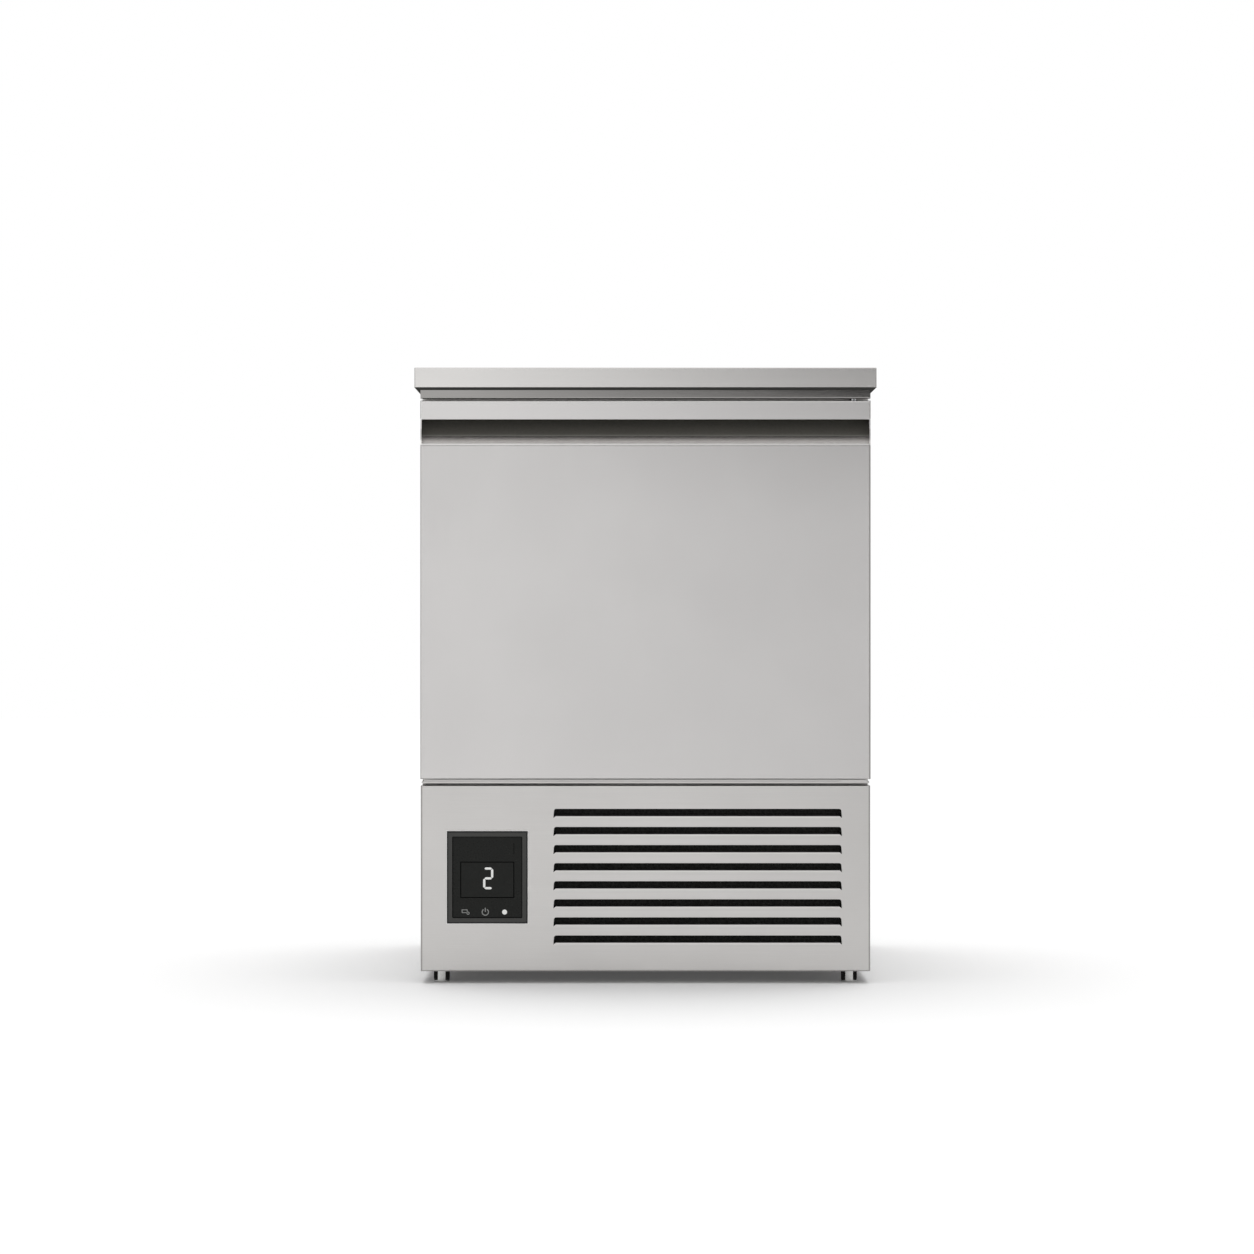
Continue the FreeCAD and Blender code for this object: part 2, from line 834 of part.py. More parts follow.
def louvre_tongue(top):
    """Lower lip of one louvre: it rises steeply behind the face, then runs inward."""
    low = top - louvre_height
    right = louvre_left + louvre_width
    sections = [
        (face_y, low, case_sheet, 0),
        (face_y + tongue_step, low + tongue_rise, 2 * case_sheet, tongue_taper),
        (face_y + tongue_depth, low + tongue_rise + tongue_step, case_sheet, tongue_taper),
    ]
    rings = []
    for y, z, thick, taper in sections:
        ends = (louvre_left + taper, right - taper)
        rings.append([
            Vector(ends[0], y, z - thick),
            Vector(ends[1], y, z - thick),
            Vector(ends[1], y, z),
            Vector(ends[0], y, z),
        ])
    return skinned(rings)


def control_rectangle(width, height, y, radius, drop=0.0):
    """Rounded plate centred on the control."""
    middle = panel_top - control_drop - drop
    x = (control_x - width / 2, control_x + width / 2)
    z = (middle - height / 2, middle + height / 2)
    return upright_plate(x, y, z, radius) if radius else block(x, y, z)


def front_panel():
    """Lower front tray with eight pressed louvres and the cut-out of the control."""
    body = block(both(panel_half), (face_y, case_front), (foot_height, panel_top))
    lower = [e for e in body.Edges if e.BoundBox.YMax < face_y + 0.1 and e.BoundBox.ZMax < foot_height + 0.1]
    upper = [e for e in body.Edges if e.BoundBox.YMax < face_y + 0.1 and e.BoundBox.ZMin > panel_top - 0.1]
    body = body.makeFillet(bend_radius, lower + upper)
    inner = both(panel_half - case_sheet)
    height = (foot_height + case_sheet, panel_top - case_sheet)
    hollow = block(inner, (face_y + case_sheet, case_front), height)
    over = block(inner, (face_y + panel_top_return, case_front), (height[1], panel_top))
    under = block(inner, (face_y + panel_bottom_return, case_front), (foot_height, height[0]))
    spare = 2 * (cutout_clearance - bezel_neck)
    hole = control_rectangle(
        bezel_width + spare, bezel_height + spare, (face_y - 1, face_y + case_sheet + 1), bezel_radius
    )
    body = body.cut([hollow, over, under, hole] + [louvre_slot(top) for top in louvre_tops()])
    return body.fuse([louvre_tongue(top) for top in louvre_tops()])


def control_bezel():
    """Raised plastic frame of the control, with the neck that goes through the panel."""
    flange = control_rectangle(bezel_width, bezel_height, (face_y - bezel_proud, face_y), bezel_radius)
    front = [e for e in flange.Edges if e.BoundBox.YMax < face_y - bezel_proud + 0.1]
    flange = flange.makeChamfer(bezel_proud / 3, front)
    neck = control_rectangle(
        bezel_width - 2 * bezel_neck,
        bezel_height - 2 * bezel_neck,
        (face_y, face_y + bezel_neck_depth),
        bezel_radius,
    )
    bore = control_rectangle(
        bezel_width - 2 * bezel_rim,
        bezel_height - 2 * bezel_rim,
        (face_y - bezel_proud, face_y + bezel_neck_depth),
        bezel_radius / 2,
    )
    return flange.fuse(neck).cut(bore)


def control_face():
    """Dark touch face, set back in the bezel, with the pocket of the display window."""
    front = face_y - bezel_proud + face_recess
    width = bezel_width - 2 * bezel_rim
    height = bezel_height - 2 * bezel_rim
    face = control_rectangle(width, height, (front, front + face_thickness), bezel_radius / 2)
    return face.cut(display_window())


def display_window():
    """Clear window over the digit."""
    front = face_y - bezel_proud + face_recess
    depth = (front, front + window_depth)
    return control_rectangle(window_width, window_height, depth, 0, window_drop)


def controller_housing():
    """Closed housing of the controller behind the face."""
    front = face_y - bezel_proud + face_recess + face_thickness
    width = bezel_width - 2 * bezel_rim - bezel_radius
    height = bezel_height - 2 * bezel_rim - bezel_radius
    return control_rectangle(width, height, (front, front + housing_depth), 0)


def foot_places():
    """Name and centre of each foot."""
    x = case_half - foot_side_inset
    front = face_y + foot_front_inset
    rear = case_back - foot_rear_inset
    return {
        "front_left": (-x, front, 0),
        "front_right": (x, front, 0),
        "rear_left": (-x, rear, 0),
        "rear_right": (x, rear, 0),
    }


def foot(place):
    """Round levelling foot with its stud, screwed right in."""
    top = base_bottom - body_clearance
    stud_top = base_top + socket_height + stud_spare
    x, y, _ = place
    body = cylinder(foot_radius, (x, y, 0), (x, y, top))
    return body.fuse(bar([(x, y, top), (x, y, stud_top)], stud_radius * math.cos(math.pi / 12), 12))


def foot_sockets():
    """Hexagon weld nuts on the base tray over the feet."""
    sockets = []
    for x, y, _ in foot_places().values():
        boss = bar([(x, y, base_top), (x, y, base_top + socket_height)], socket_radius, 6)
        bore = bar([(x, y, base_top), (x, y, base_top + socket_height)], stud_radius + running_fit, 12)
        sockets.append(boss.cut(bore))
    return Part.makeCompound(sockets)


def base_tray():
    """Folded tray that carries the condensing unit and the feet."""
    front = face_y + case_sheet + base_front_gap
    half = panel_half - case_sheet
    body = block(both(half), (front, back_inner), (base_bottom, base_top + base_lip))
    inner = both(half - base_sheet)
    length = (front + base_sheet, back_inner - base_sheet)
    hollow = block(inner, length, (base_top, base_top + base_lip))
    tray = body.cut([hollow, side_panel(), mirrored(side_panel())])
    hole = stud_radius + running_fit
    places = foot_places().values()
    return tray.cut([bar([(x, y, base_bottom), (x, y, base_top)], hole, 12) for x, y, _ in places])


def upright(side, y):
    """Slotted channel on the liner wall that the shelf clips hook into."""
    inner = opening_half - upright_depth
    x = (inner, opening_half)
    length = (y - upright_width / 2, y + upright_width / 2)
    height = (opening_bottom + upright_gap, opening_top - upright_gap)
    body = block(x, length, height)
    hollow = block(
        (inner + upright_sheet, opening_half), (length[0] + upright_sheet, length[1] - upright_sheet), height
    )
    slots = []
    z = height[0] + upright_slot_pitch / 2
    while z + upright_slot_height < height[1]:
        width = (y - upright_slot_width / 2, y + upright_slot_width / 2)
        slots.append(block((inner, inner + upright_sheet), width, (z, z + upright_slot_height)))
        z += upright_slot_pitch
    body = body.cut([hollow] + slots)
    return body if side > 0 else mirrored(body)


def upright_rows():
    """Distances of the front and rear uprights along Y."""
    front = frame_back + upright_front
    return (front, front + upright_spacing)


def shelf_clips():
    """Bent tabs hooked on the uprights under each shelf."""
    clips = []
    inner = opening_half - upright_depth
    for level in shelf_levels:
        top = opening_bottom + level
        for y in upright_rows():
            length = (y - clip_width / 2, y + clip_width / 2)
            tab = block((inner - clip_reach, inner), length, (top - clip_sheet, top))
            leg = block((inner - clip_sheet, inner), length, (top - clip_height, top))
            clip = tab.fuse(leg).removeSplitter()
            clips += [clip, mirrored(clip)]
    return Part.makeCompound(clips)


def wire_shelf(level):
    """Bar bent round the edge, with wires welded in from front to back."""
    z = opening_bottom + level + shelf_bar
    half = opening_half - upright_depth - shelf_side_gap - shelf_bar
    front = frame_back + shelf_front_gap + shelf_bar
    back = front + shelf_depth - 2 * shelf_bar
    corners = [(-half, front, z), (half, front, z), (half, back, z), (-half, back, z)]
    rim = bar(corners, shelf_bar, 8, shelf_corner, True)
    pitch = 2 * half / (shelf_wires + 1)
    wires = []
    for i in range(shelf_wires):
        x = -half + (i + 1) * pitch
        wires.append(bar([(x, front, z), (x, back, z)], shelf_wire, 6))
    return rim.fuse(wires)


def finned_coil(x, y, z, pitch, gap, slot_depth):
    """Coil block whose front and back are cut into upright fins."""
    body = block(x, y, z)
    count = int((x[1] - x[0] - pitch) // pitch)
    first = (x[0] + x[1]) / 2 - (count - 1) * pitch / 2
    slots = []
    for i in range(count):
        middle = first + i * pitch
        wide = (middle - gap / 2, middle + gap / 2)
        slots.append(block(wide, (y[0], y[0] + slot_depth), z))
        slots.append(block(wide, (y[1] - slot_depth, y[1]), z))
    return body.cut(slots)


def fan_blade(root, tip):
    """Blade folded along two lines for its camber, wider at its tip."""
    sections = []
    turn = Rotation(Vector(1, 0, 0), blade_pitch)
    for radius, share in ((root, blade_root_chord), (tip, blade_tip_chord)):
        chord = share * tip
        rise = blade_camber * chord
        front = [(-chord / 2, 0), (-chord / 6, rise), (chord / 6, rise), (chord / 2, 0)]
        back = [(y, z - blade_sheet) for y, z in reversed(front)]
        sections.append([turn.multVec(Vector(radius, y, z)) for y, z in front + back])
    return skinned(sections)


def fan(radius, hub_radius):
    """Fan wheel about the vertical, its hub centred on the origin and its nose up."""
    half = hub_length / 2
    profile = [(hub_radius, -half), (hub_radius, half * 2 / 3), (hub_radius - half / 3, half)]
    hub = flat_sided(profile, (0, 0, 0), 20)
    wheel = []
    for i in range(blade_count):
        blade = fan_blade(hub_radius * 0.8, radius)
        blade.rotate(Vector(), Vector(0, 0, 1), i * 360 / blade_count)
        wheel.append(blade)
    bore = Part.makeCylinder(motor_shaft + running_fit, hub_length, Vector(0, 0, -half - motor_gap / 2))
    return hub.fuse(wheel).cut(bore)


def fan_motor(centre, radius, length):
    """Round motor behind a fan, with its shaft in the fan's hub."""
    x, y, z = centre
    near = y + hub_length / 2 + motor_gap
    profile = [(radius, 0), (radius, length - radius / 5), (radius * 4 / 5, length)]
    can = facing_front(flat_sided(profile, (0, 0, 0), 24), (x, near + length, z))
    shaft_start = y - hub_length / 2 + motor_gap
    return can.fuse(cylinder(motor_shaft, (x, shaft_start, z), (x, near + length / 2, z)))


def motor_strap(centre, fan_radius, plate, length):
    """Strip bent round the fan that carries the motor on the plate in front of it."""
    x, y, z = centre
    back = y + hub_length / 2 + motor_gap + length
    reach = fan_radius + fan_tip_gap + strap_margin
    height = (z - strap_width / 2, z + strap_width / 2)
    strap = block((x - reach, x + reach), (plate, back + strap_sheet), height)
    return strap.cut(block((x - reach + strap_sheet, x + reach - strap_sheet), (plate, back), height))


def evaporator_coil():
    """Finned coil on the liner's back wall."""
    y = (liner_back - evaporator_depth, liner_back)
    z = (evaporator_top - evaporator_height, evaporator_top)
    return finned_coil(both(evaporator_half), y, z, fin_pitch, fin_gap, fin_slot_depth)


def evaporator_cover():
    """Folded cover open to the wall and the ceiling, with the fan hole and rows of slots."""
    front = (cover_front, cover_front + case_sheet)
    body = block(both(cover_half), (cover_front, liner_back), (cover_bottom, opening_top))
    height = (cover_bottom + case_sheet, opening_top)
    hollow = block(both(cover_half - case_sheet), (front[1], liner_back), height)
    fan_hole = cylinder(
        evaporator_fan_radius + fan_tip_gap, (0, front[0], evaporator_fan_z), (0, front[1], evaporator_fan_z)
    )
    slots = []
    for i in range(cover_slots):
        low = cover_bottom + cover_slot_rise + i * cover_slot_pitch
        slots.append(block(both(cover_slot_half), front, (low, low + cover_slot_height)))
    depth = (cover_front + cover_slot_rise, liner_back - evaporator_depth)
    slots.append(block(both(cover_slot_half), depth, (cover_bottom, cover_bottom + case_sheet)))
    return body.cut([hollow, fan_hole] + slots)


def evaporator_fan_centre():
    """Middle of the evaporator fan's hub."""
    return (0, evaporator_fan_y, evaporator_fan_z)


def temperature_probe():
    """Air probe clipped under the evaporator cover."""
    z = cover_bottom - probe_radius
    x = cover_half / 2
    return cylinder(probe_radius, (x, cover_front, z), (x, cover_front + probe_length, z))


def condenser_coil():
    """Finned coil behind the louvres."""
    y = (condenser_front, condenser_back)
    return finned_coil(
        (condenser_left, condenser_right),
        y,
        (base_top, condenser_top),
        fin_pitch / 2,
        fin_gap / 2,
        fin_slot_depth,
    )


def fan_shroud():
    """Folded duct from the condenser to the fan."""
    x = (condenser_left, condenser_right)
    body = block(x, (condenser_back, shroud_back), (base_top, condenser_top))
    inner = (x[0] + shroud_sheet, x[1] - shroud_sheet)
    height = (base_top + shroud_sheet, condenser_top - shroud_sheet)
    hollow = block(inner, (condenser_back, shroud_back - shroud_sheet), height)
    hole = cylinder(
        condenser_fan_radius + fan_tip_gap,
        (condenser_fan_x, condenser_back, condenser_fan_z),
        (condenser_fan_x, shroud_back, condenser_fan_z),
    )
    return body.cut([hollow, hole])


def condenser_fan_centre():
    """Middle of the condenser fan's hub, in the plane of the shroud's hole."""
    return (condenser_fan_x, shroud_back, condenser_fan_z)


def compressor_corners():
    """Places of the four mounting points of the compressor."""
    reach = plate_half - grommet_inset
    return [(compressor_x + i * reach, compressor_y + j * reach) for i in (-1, 1) for j in (-1, 1)]


def compressor():
    """Domed steel shell with a welded seam on a mounting plate."""
    top = compressor_bottom + compressor_height
    middle = (compressor_bottom + top) / 2
    radius = compressor_radius
    profile = [
        (radius - compressor_dome / 3, compressor_bottom),
        (radius, compressor_bottom + compressor_dome / 2),
        (radius, middle),
        (radius + compressor_seam, middle),
        (radius + compressor_seam, middle + compressor_seam),
        (radius, middle + compressor_seam),
        (radius, top - compressor_dome),
        (radius - compressor_dome / 4, top - compressor_dome / 3),
        (radius - compressor_dome, top),
    ]
    shell = flat_sided(profile, (compressor_x, compressor_y, 0), 32)
    plate = block(
        (compressor_x - plate_half, compressor_x + plate_half),
        (compressor_y - plate_half, compressor_y + plate_half),
        (compressor_bottom - compressor_plate, compressor_bottom),
    )
    return shell.fuse(plate)


def compressor_grommets():
    """Rubber mounts between the compressor's plate and the base tray."""
    top = base_top + grommet_height
    corners = compressor_corners()
    return Part.makeCompound([bar([(x, y, base_top), (x, y, top)], grommet_radius, 12) for x, y in corners])


def filter_drier():
    """Copper drier with necked ends, lying along the cabinet."""
    profile = [
        (pipe_radius, 0),
        (drier_radius, drier_neck),
        (drier_radius, drier_length - drier_neck),
        (pipe_radius, drier_length),
    ]
    drier = flat_sided(profile, (0, 0, 0), 16)
    return facing_front(drier, (drier_x, drier_front + drier_length, drier_z))


def discharge_pipe():
    """Pipe from the compressor to the condenser."""
    z = base_top + discharge_height
    x = condenser_left - discharge_clear
    start = compressor_x - compressor_radius
    turns = [(x, compressor_y, z), (x, condenser_middle, z)]
    points = [(start, compressor_y, z)] + turns + [(condenser_left, condenser_middle, z)]
    return bar(points, pipe_radius, 8, pipe_bend)


def liquid_pipe():
    """Pipe from the condenser to the filter drier."""
    start = (condenser_left, condenser_middle, drier_z)
    points = [start, (drier_x, condenser_middle, drier_z), (drier_x, drier_front, drier_z)]
    return bar(points, pipe_radius, 8, pipe_bend)


def capillary_pipe():
    """Thin pipe from the drier up through the foam to the evaporator."""
    points = [
        (drier_x, drier_front + drier_length, drier_z),
        (drier_x, pipe_rise_y, drier_z),
        (drier_x, pipe_rise_y, coil_inlet_z),
        (drier_x, liner_back, coil_inlet_z),
    ]
    return bar(points, thin_pipe_radius, 6, pipe_bend)


def suction_pipe():
    """Pipe from the evaporator down through the foam to the compressor."""
    z = base_top + suction_height
    points = [
        (compressor_x, compressor_y + compressor_radius, z),
        (compressor_x, pipe_rise_y, z),
        (compressor_x, pipe_rise_y, coil_inlet_z),
        (compressor_x, liner_back, coil_inlet_z),
    ]
    return bar(points, pipe_radius, 8, pipe_bend)


def condensate_tray():
    """Plastic tray on the base that the drain runs into."""
    left = foot_side_inset + socket_radius + tray_clear - case_half
    x = (left, left + tray_width)
    y = (drain_y - tray_depth / 2, drain_y + tray_depth / 2)
    z = (base_top, base_top + tray_height)
    wall = tray_wall
    body = block(x, y, z)
    return body.cut(block((x[0] + wall, x[1] - wall), (y[0] + wall, y[1] - wall), (z[0] + wall, z[1])))


def drain_rod(radius):
    """Round bar along the drain, from the floor of the box down into the tray."""
    low = base_top + tray_height - drain_radius
    return bar([(drain_x, drain_y, low), (drain_x, drain_y, opening_bottom)], radius, 12)


def drain_pipe():
    """Pipe from the floor of the box down into the tray."""
    return drain_rod(drain_radius).cut(drain_rod(drain_radius - drain_wall))


def pieces():
    """Every piece by name."""
    evaporator = evaporator_fan_centre()
    condenser = condenser_fan_centre()
    made = {
        "worktop": worktop(),
        "left_side_panel": mirrored(side_panel()),
        "right_side_panel": side_panel(),
        "back_panel": back_panel(),
        "rear_grille": rear_grille(),
        "rear_screws": rear_screws(),
        "cable_gland": cable_gland(),
        "deck_sheet": deck_sheet(),
        "front_frame": front_frame(),
        "inner_liner": inner_liner(),
        "cabinet_insulation": insulation(),
        "header_rail": header_rail(),
        "door_sill": door_sill(),
        "top_hinge_plate": top_hinge_plate(),
        "top_hinge_pin": top_hinge_pin(),
        "bottom_hinge_pin": bottom_hinge_pin(),
        "door_skin": door_skin(),
        "door_insulation": door_insulation(),
        "door_liner": door_liner(),
        "door_gasket": door_gasket(),
        "door_grip": door_grip(),
        "top_hinge_bush": top_bush(),
        "closer_cartridge": closer_cartridge(),
        "front_louvre_panel": front_panel(),
        "condenser_filter": filter_pad(),
        "control_bezel": control_bezel(),
        "control_face": control_face(),
        "display_window": display_window(),
        "controller_housing": controller_housing(),
        "base_tray": base_tray(),
        "foot_sockets": foot_sockets(),
        "shelf_clips": shelf_clips(),
        "evaporator_coil": evaporator_coil(),
        "evaporator_cover": evaporator_cover(),
        "evaporator_motor": fan_motor(evaporator, evaporator_motor_radius, evaporator_motor_length),
        "motor_straps": Part.makeCompound([
            motor_strap(evaporator, evaporator_fan_radius, cover_front + case_sheet, evaporator_motor_length),
            motor_strap(condenser, condenser_fan_radius, shroud_back, condenser_motor_length),
        ]),
        "evaporator_fan": facing_front(fan(evaporator_fan_radius, evaporator_hub_radius), evaporator),
        "temperature_probe": temperature_probe(),
        "condenser_coil": condenser_coil(),
        "fan_shroud": fan_shroud(),
        "condenser_motor": fan_motor(condenser, condenser_motor_radius, condenser_motor_length),
        "condenser_fan": facing_front(fan(condenser_fan_radius, condenser_hub_radius), condenser),
        "compressor": compressor(),
        "compressor_grommets": compressor_grommets(),
        "filter_drier": filter_drier(),
        "discharge_pipe": discharge_pipe(),
        "liquid_pipe": liquid_pipe(),
        "capillary_pipe": capillary_pipe(),
        "suction_pipe": suction_pipe(),
        "condensate_tray": condensate_tray(),
        "drain_pipe": drain_pipe(),
    }
    for where, place in foot_places().items():
        made[f"foot_{where}"] = foot(place)
    for level, name in zip(shelf_levels, ("lower", "upper")):
        made[f"{name}_shelf"] = wire_shelf(level)
    made["shelf_uprights"] = Part.makeCompound([upright(side, y) for y in upright_rows() for side in (-1, 1)])
    return made


os.makedirs("parts", exist_ok=True)
assembly = pieces()
for piece_name, piece in assembly.items():
    save(piece_name, piece)
print("wrote", len(assembly), "pieces")
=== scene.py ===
# %% [markdown]
# # Dressing an under-counter chiller
# The measured model of this stainless steel cabinet comes in from model.glb, piece by piece. This lesson gives
# every piece the finish of the real one, adds the small parts that show (display digit, symbols, seams, fan guard
# and screws), and sets up the floor, the light and the camera.

# %% Load the measured model
import math

import bmesh
import bpy
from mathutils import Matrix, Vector


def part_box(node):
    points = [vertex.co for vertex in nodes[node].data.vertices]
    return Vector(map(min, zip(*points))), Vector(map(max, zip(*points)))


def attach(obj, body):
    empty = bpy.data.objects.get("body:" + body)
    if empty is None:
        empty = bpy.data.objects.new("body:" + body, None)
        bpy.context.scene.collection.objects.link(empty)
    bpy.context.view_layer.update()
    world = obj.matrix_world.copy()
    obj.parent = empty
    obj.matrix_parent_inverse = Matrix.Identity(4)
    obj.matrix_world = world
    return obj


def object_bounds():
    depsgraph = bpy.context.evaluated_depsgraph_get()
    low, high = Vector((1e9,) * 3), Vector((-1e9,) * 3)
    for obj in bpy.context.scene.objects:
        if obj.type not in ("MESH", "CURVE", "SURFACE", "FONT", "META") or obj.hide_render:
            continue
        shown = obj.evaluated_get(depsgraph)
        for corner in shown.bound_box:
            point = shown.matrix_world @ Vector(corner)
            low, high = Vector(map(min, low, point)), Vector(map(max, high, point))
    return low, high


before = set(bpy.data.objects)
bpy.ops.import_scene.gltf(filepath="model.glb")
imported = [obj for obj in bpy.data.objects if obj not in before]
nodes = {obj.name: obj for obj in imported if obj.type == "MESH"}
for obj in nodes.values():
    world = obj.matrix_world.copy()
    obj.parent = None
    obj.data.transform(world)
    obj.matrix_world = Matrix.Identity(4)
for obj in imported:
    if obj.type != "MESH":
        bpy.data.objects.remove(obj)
scene = bpy.context.scene
cad_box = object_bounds()
mm = 0.001

# %% [markdown]
# Colours are written as a picture editor shows them, in sRGB. Blender's shaders work with linear light, so one
# function turns every hex value into linear numbers.

# %% Colour from a hex value
def linear(code):
    """Linear RGBA of an sRGB hex colour."""
    parts = [int(code[i:i + 2], 16) / 255 for i in (1, 3, 5)]
    return tuple(c / 12.92 if c <= 0.04045 else ((c + 0.055) / 1.055) ** 2.4 for c in parts) + (1.0,)


print("mid grey", [round(c, 3) for c in linear("#808080")])

# %% [markdown]
# A material is a small network. This function adds one node of any kind, sets its properties and its inputs, and
# links an input when it is given another node's output instead of a value.

# %% Add a node to a network
def add(tree, kind, settings=None, **inputs):
    """New node of a kind, with its properties and its inputs set or linked."""
    node = tree.nodes.new(kind)
    for name, value in (settings or {}).items():
        setattr(node, name, value)
    for name, value in inputs.items():
        key = int(name[1:]) if name[0] == "i" and name[1:].isdigit() else name.replace("_", " ")
        if isinstance(value, bpy.types.NodeSocket):
            tree.links.new(value, node.inputs[key])
        else:
            node.inputs[key].default_value = value
    return node


def new_material(name, colour, metallic, roughness, **sockets):
    """Principled material with its plain values on the shader's own sockets."""
    material = bpy.data.materials.new(name)
    material.use_nodes = True
    tree = material.node_tree
    shader = tree.nodes["Principled BSDF"]
    shader.inputs["Base Color"].default_value = linear(colour)
    shader.inputs["Metallic"].default_value = metallic
    shader.inputs["Roughness"].default_value = roughness
    for socket, value in sockets.items():
        shader.inputs[socket.replace("_", " ")].default_value = value
    material.diffuse_color = linear(colour)
    return material, tree, shader


# %% [markdown]
# Most finishes are one network: a pattern in the object's own coordinates, which are metres here, mixes two close
# colours, changes the gloss a little and raises the surface a little. A Mapping node scales the coordinates, so that
# a pattern's size can be written in millimetres: a feature of s mm needs a scale of 1000 / s.

# %% A whole finish from one pattern
def surface(name, light, dark, metallic, roughness, size, depth, kind="ShaderNodeTexNoise", output=0,
            low=0.35, high=0.65, swing=0.05, **sockets):
    """Material whose colour, gloss and height follow one pattern of size mm; the relief is depth mm deep."""
    material, tree, shader = new_material(name, light, metallic, roughness, **sockets)
    where = add(tree, "ShaderNodeTexCoord").outputs["Object"]
    scaled = add(tree, "ShaderNodeMapping", Vector=where, Scale=[1.0 / (size * mm)] * 3).outputs["Vector"]
    height = add(tree, kind, Vector=scaled, Scale=1.0).outputs[output]
    blend = add(tree, "ShaderNodeMapRange", Value=height, From_Min=low, From_Max=high).outputs["Result"]
    colours = {"i6": linear(dark), "i7": linear(light)}
    mix = add(tree, "ShaderNodeMix", {"data_type": "RGBA"}, Factor=blend, **colours)
    tree.links.new(mix.outputs[2], shader.inputs["Base Color"])
    gloss = add(tree, "ShaderNodeMapRange", Value=blend, To_Min=roughness + swing, To_Max=roughness - swing)
    tree.links.new(gloss.outputs["Result"], shader.inputs["Roughness"])
    relief = add(tree, "ShaderNodeBump", Height=height, Distance=depth * mm)
    tree.links.new(relief.outputs["Normal"], shader.inputs["Normal"])
    return material


CELLS = {"kind": "ShaderNodeTexVoronoi", "output": "Distance", "low": 0.0, "high": 0.8}

# %% [markdown]
# # The sheet steel outside
# The outer sheets are stainless steel with a satin brushed finish: grit of about 0.1 mm is drawn along the sheet and
# leaves long fine scratches. They are far finer than a pixel here, so the grain is drawn ten times coarser and very
# weak. What the eye gets is a soft, slightly streaky gloss. The streaks change the roughness a little and tilt the
# surface a little, and a slow cloudy change of a few centimetres keeps a big sheet from looking printed. The grain
# runs across the front (X) on the rails and the worktop, and upward (Z) on the door and the sides.

# %% Satin brushed stainless steel
GRIT = 1.0
SCRATCH = 90.0


def brushed_steel(name, grain, light, dark, roughness, depth):
    """Stainless sheet brushed along one axis; grain is the size of its streaks along X, Y and Z in mm."""
    material, tree, shader = new_material(name, light, 1.0, roughness, Anisotropic=0.25)
    where = add(tree, "ShaderNodeTexCoord").outputs["Object"]
    along = add(tree, "ShaderNodeMapping", Vector=where, Scale=[1.0 / (g * mm) for g in grain]).outputs["Vector"]
    streaks = add(tree, "ShaderNodeTexNoise", Vector=along, Scale=1.0, Detail=3.0, Roughness=0.6).outputs[0]
    clouds = add(tree, "ShaderNodeTexNoise", Vector=where, Scale=7.0, Detail=2.0).outputs[0]
    both = add(tree, "ShaderNodeMath", {"operation": "ADD"}, i0=streaks, i1=clouds).outputs[0]
    blend = add(tree, "ShaderNodeMapRange", Value=both, From_Min=0.75, From_Max=1.25).outputs["Result"]
    colours = {"i6": linear(dark), "i7": linear(light)}
    mix = add(tree, "ShaderNodeMix", {"data_type": "RGBA"}, Factor=blend, **colours)
    tree.links.new(mix.outputs[2], shader.inputs["Base Color"])
    gloss = add(tree, "ShaderNodeMapRange", Value=blend, To_Min=roughness + 0.015, To_Max=roughness - 0.015)
    tree.links.new(gloss.outputs["Result"], shader.inputs["Roughness"])
    relief = add(tree, "ShaderNodeBump", Height=streaks, Distance=depth * mm)
    tree.links.new(relief.outputs["Normal"], shader.inputs["Normal"])
    return material


across = (SCRATCH, GRIT, GRIT)
upward = (GRIT, GRIT, SCRATCH)
worktop_steel = brushed_steel("satin stainless steel, brushed across", across, "#E2E0DE", "#DEDCDA", 0.2, 0.01)
# The header's dark base colour is painted shade, for the shade under the worktop's lip; its low roughness is its fine
# ground finish.
header_steel = brushed_steel("bright stainless steel, fine ground", across, "#A09E9C", "#9A9896", 0.06, 0.004)
door_steel = brushed_steel("satin stainless steel, brushed upward", upward, "#D2D0CF", "#CFCDCC", 0.23, 0.005)
side_steel = brushed_steel("satin stainless steel, side sheet", upward, "#D2D0CF", "#CFCDCC", 0.25, 0.005)
panel_steel = brushed_steel("satin stainless steel, lower panel", across, "#D2D0CE", "#CECCCA", 0.32, 0.01)
# A darker steel for the strips along the folded edges: painted shade of the folds.
fold_shade_steel = brushed_steel("stainless steel, darkened for the shade of the fold", upward, "#A8A6A4", "#A19F9D", 0.35, 0.01)
print("sheet finishes", worktop_steel.name, "|", door_steel.name, "|", panel_steel.name)

# %% [markdown]
# The worktop's underside carries a painted shade: where the sheet faces down, up to the hem that turns in below the
# lip, the steel turns into a dull dark grey, which draws the shaded underside and the dark line under the lip.

# %% Painted shade under the worktop
tree = worktop_steel.node_tree
shader = tree.nodes["Principled BSDF"]
facing = add(tree, "ShaderNodeSeparateXYZ", Vector=add(tree, "ShaderNodeTexCoord").outputs["Normal"]).outputs["Z"]
not_underside = add(tree, "ShaderNodeMapRange", Value=facing, From_Min=-0.4, From_Max=-0.3).outputs["Result"]
steel = shader.inputs["Base Color"].links[0].from_socket
underside_shade = add(tree, "ShaderNodeMix", {"data_type": "RGBA"}, Factor=not_underside, i6=linear("#454543"), i7=steel)
tree.links.new(underside_shade.outputs[2], shader.inputs["Base Color"])
tree.links.new(not_underside, shader.inputs["Metallic"])
dull = add(tree, "ShaderNodeMapRange", Value=not_underside, To_Min=0.9, To_Max=0.0).outputs["Result"]
steel_gloss = shader.inputs["Roughness"].links[0].from_socket
rough = add(tree, "ShaderNodeMath", {"operation": "MAXIMUM"}, i0=dull, i1=steel_gloss).outputs[0]
tree.links.new(rough, shader.inputs["Roughness"])
shine = add(tree, "ShaderNodeMapRange", Value=not_underside, To_Min=0.0, To_Max=0.5).outputs["Result"]
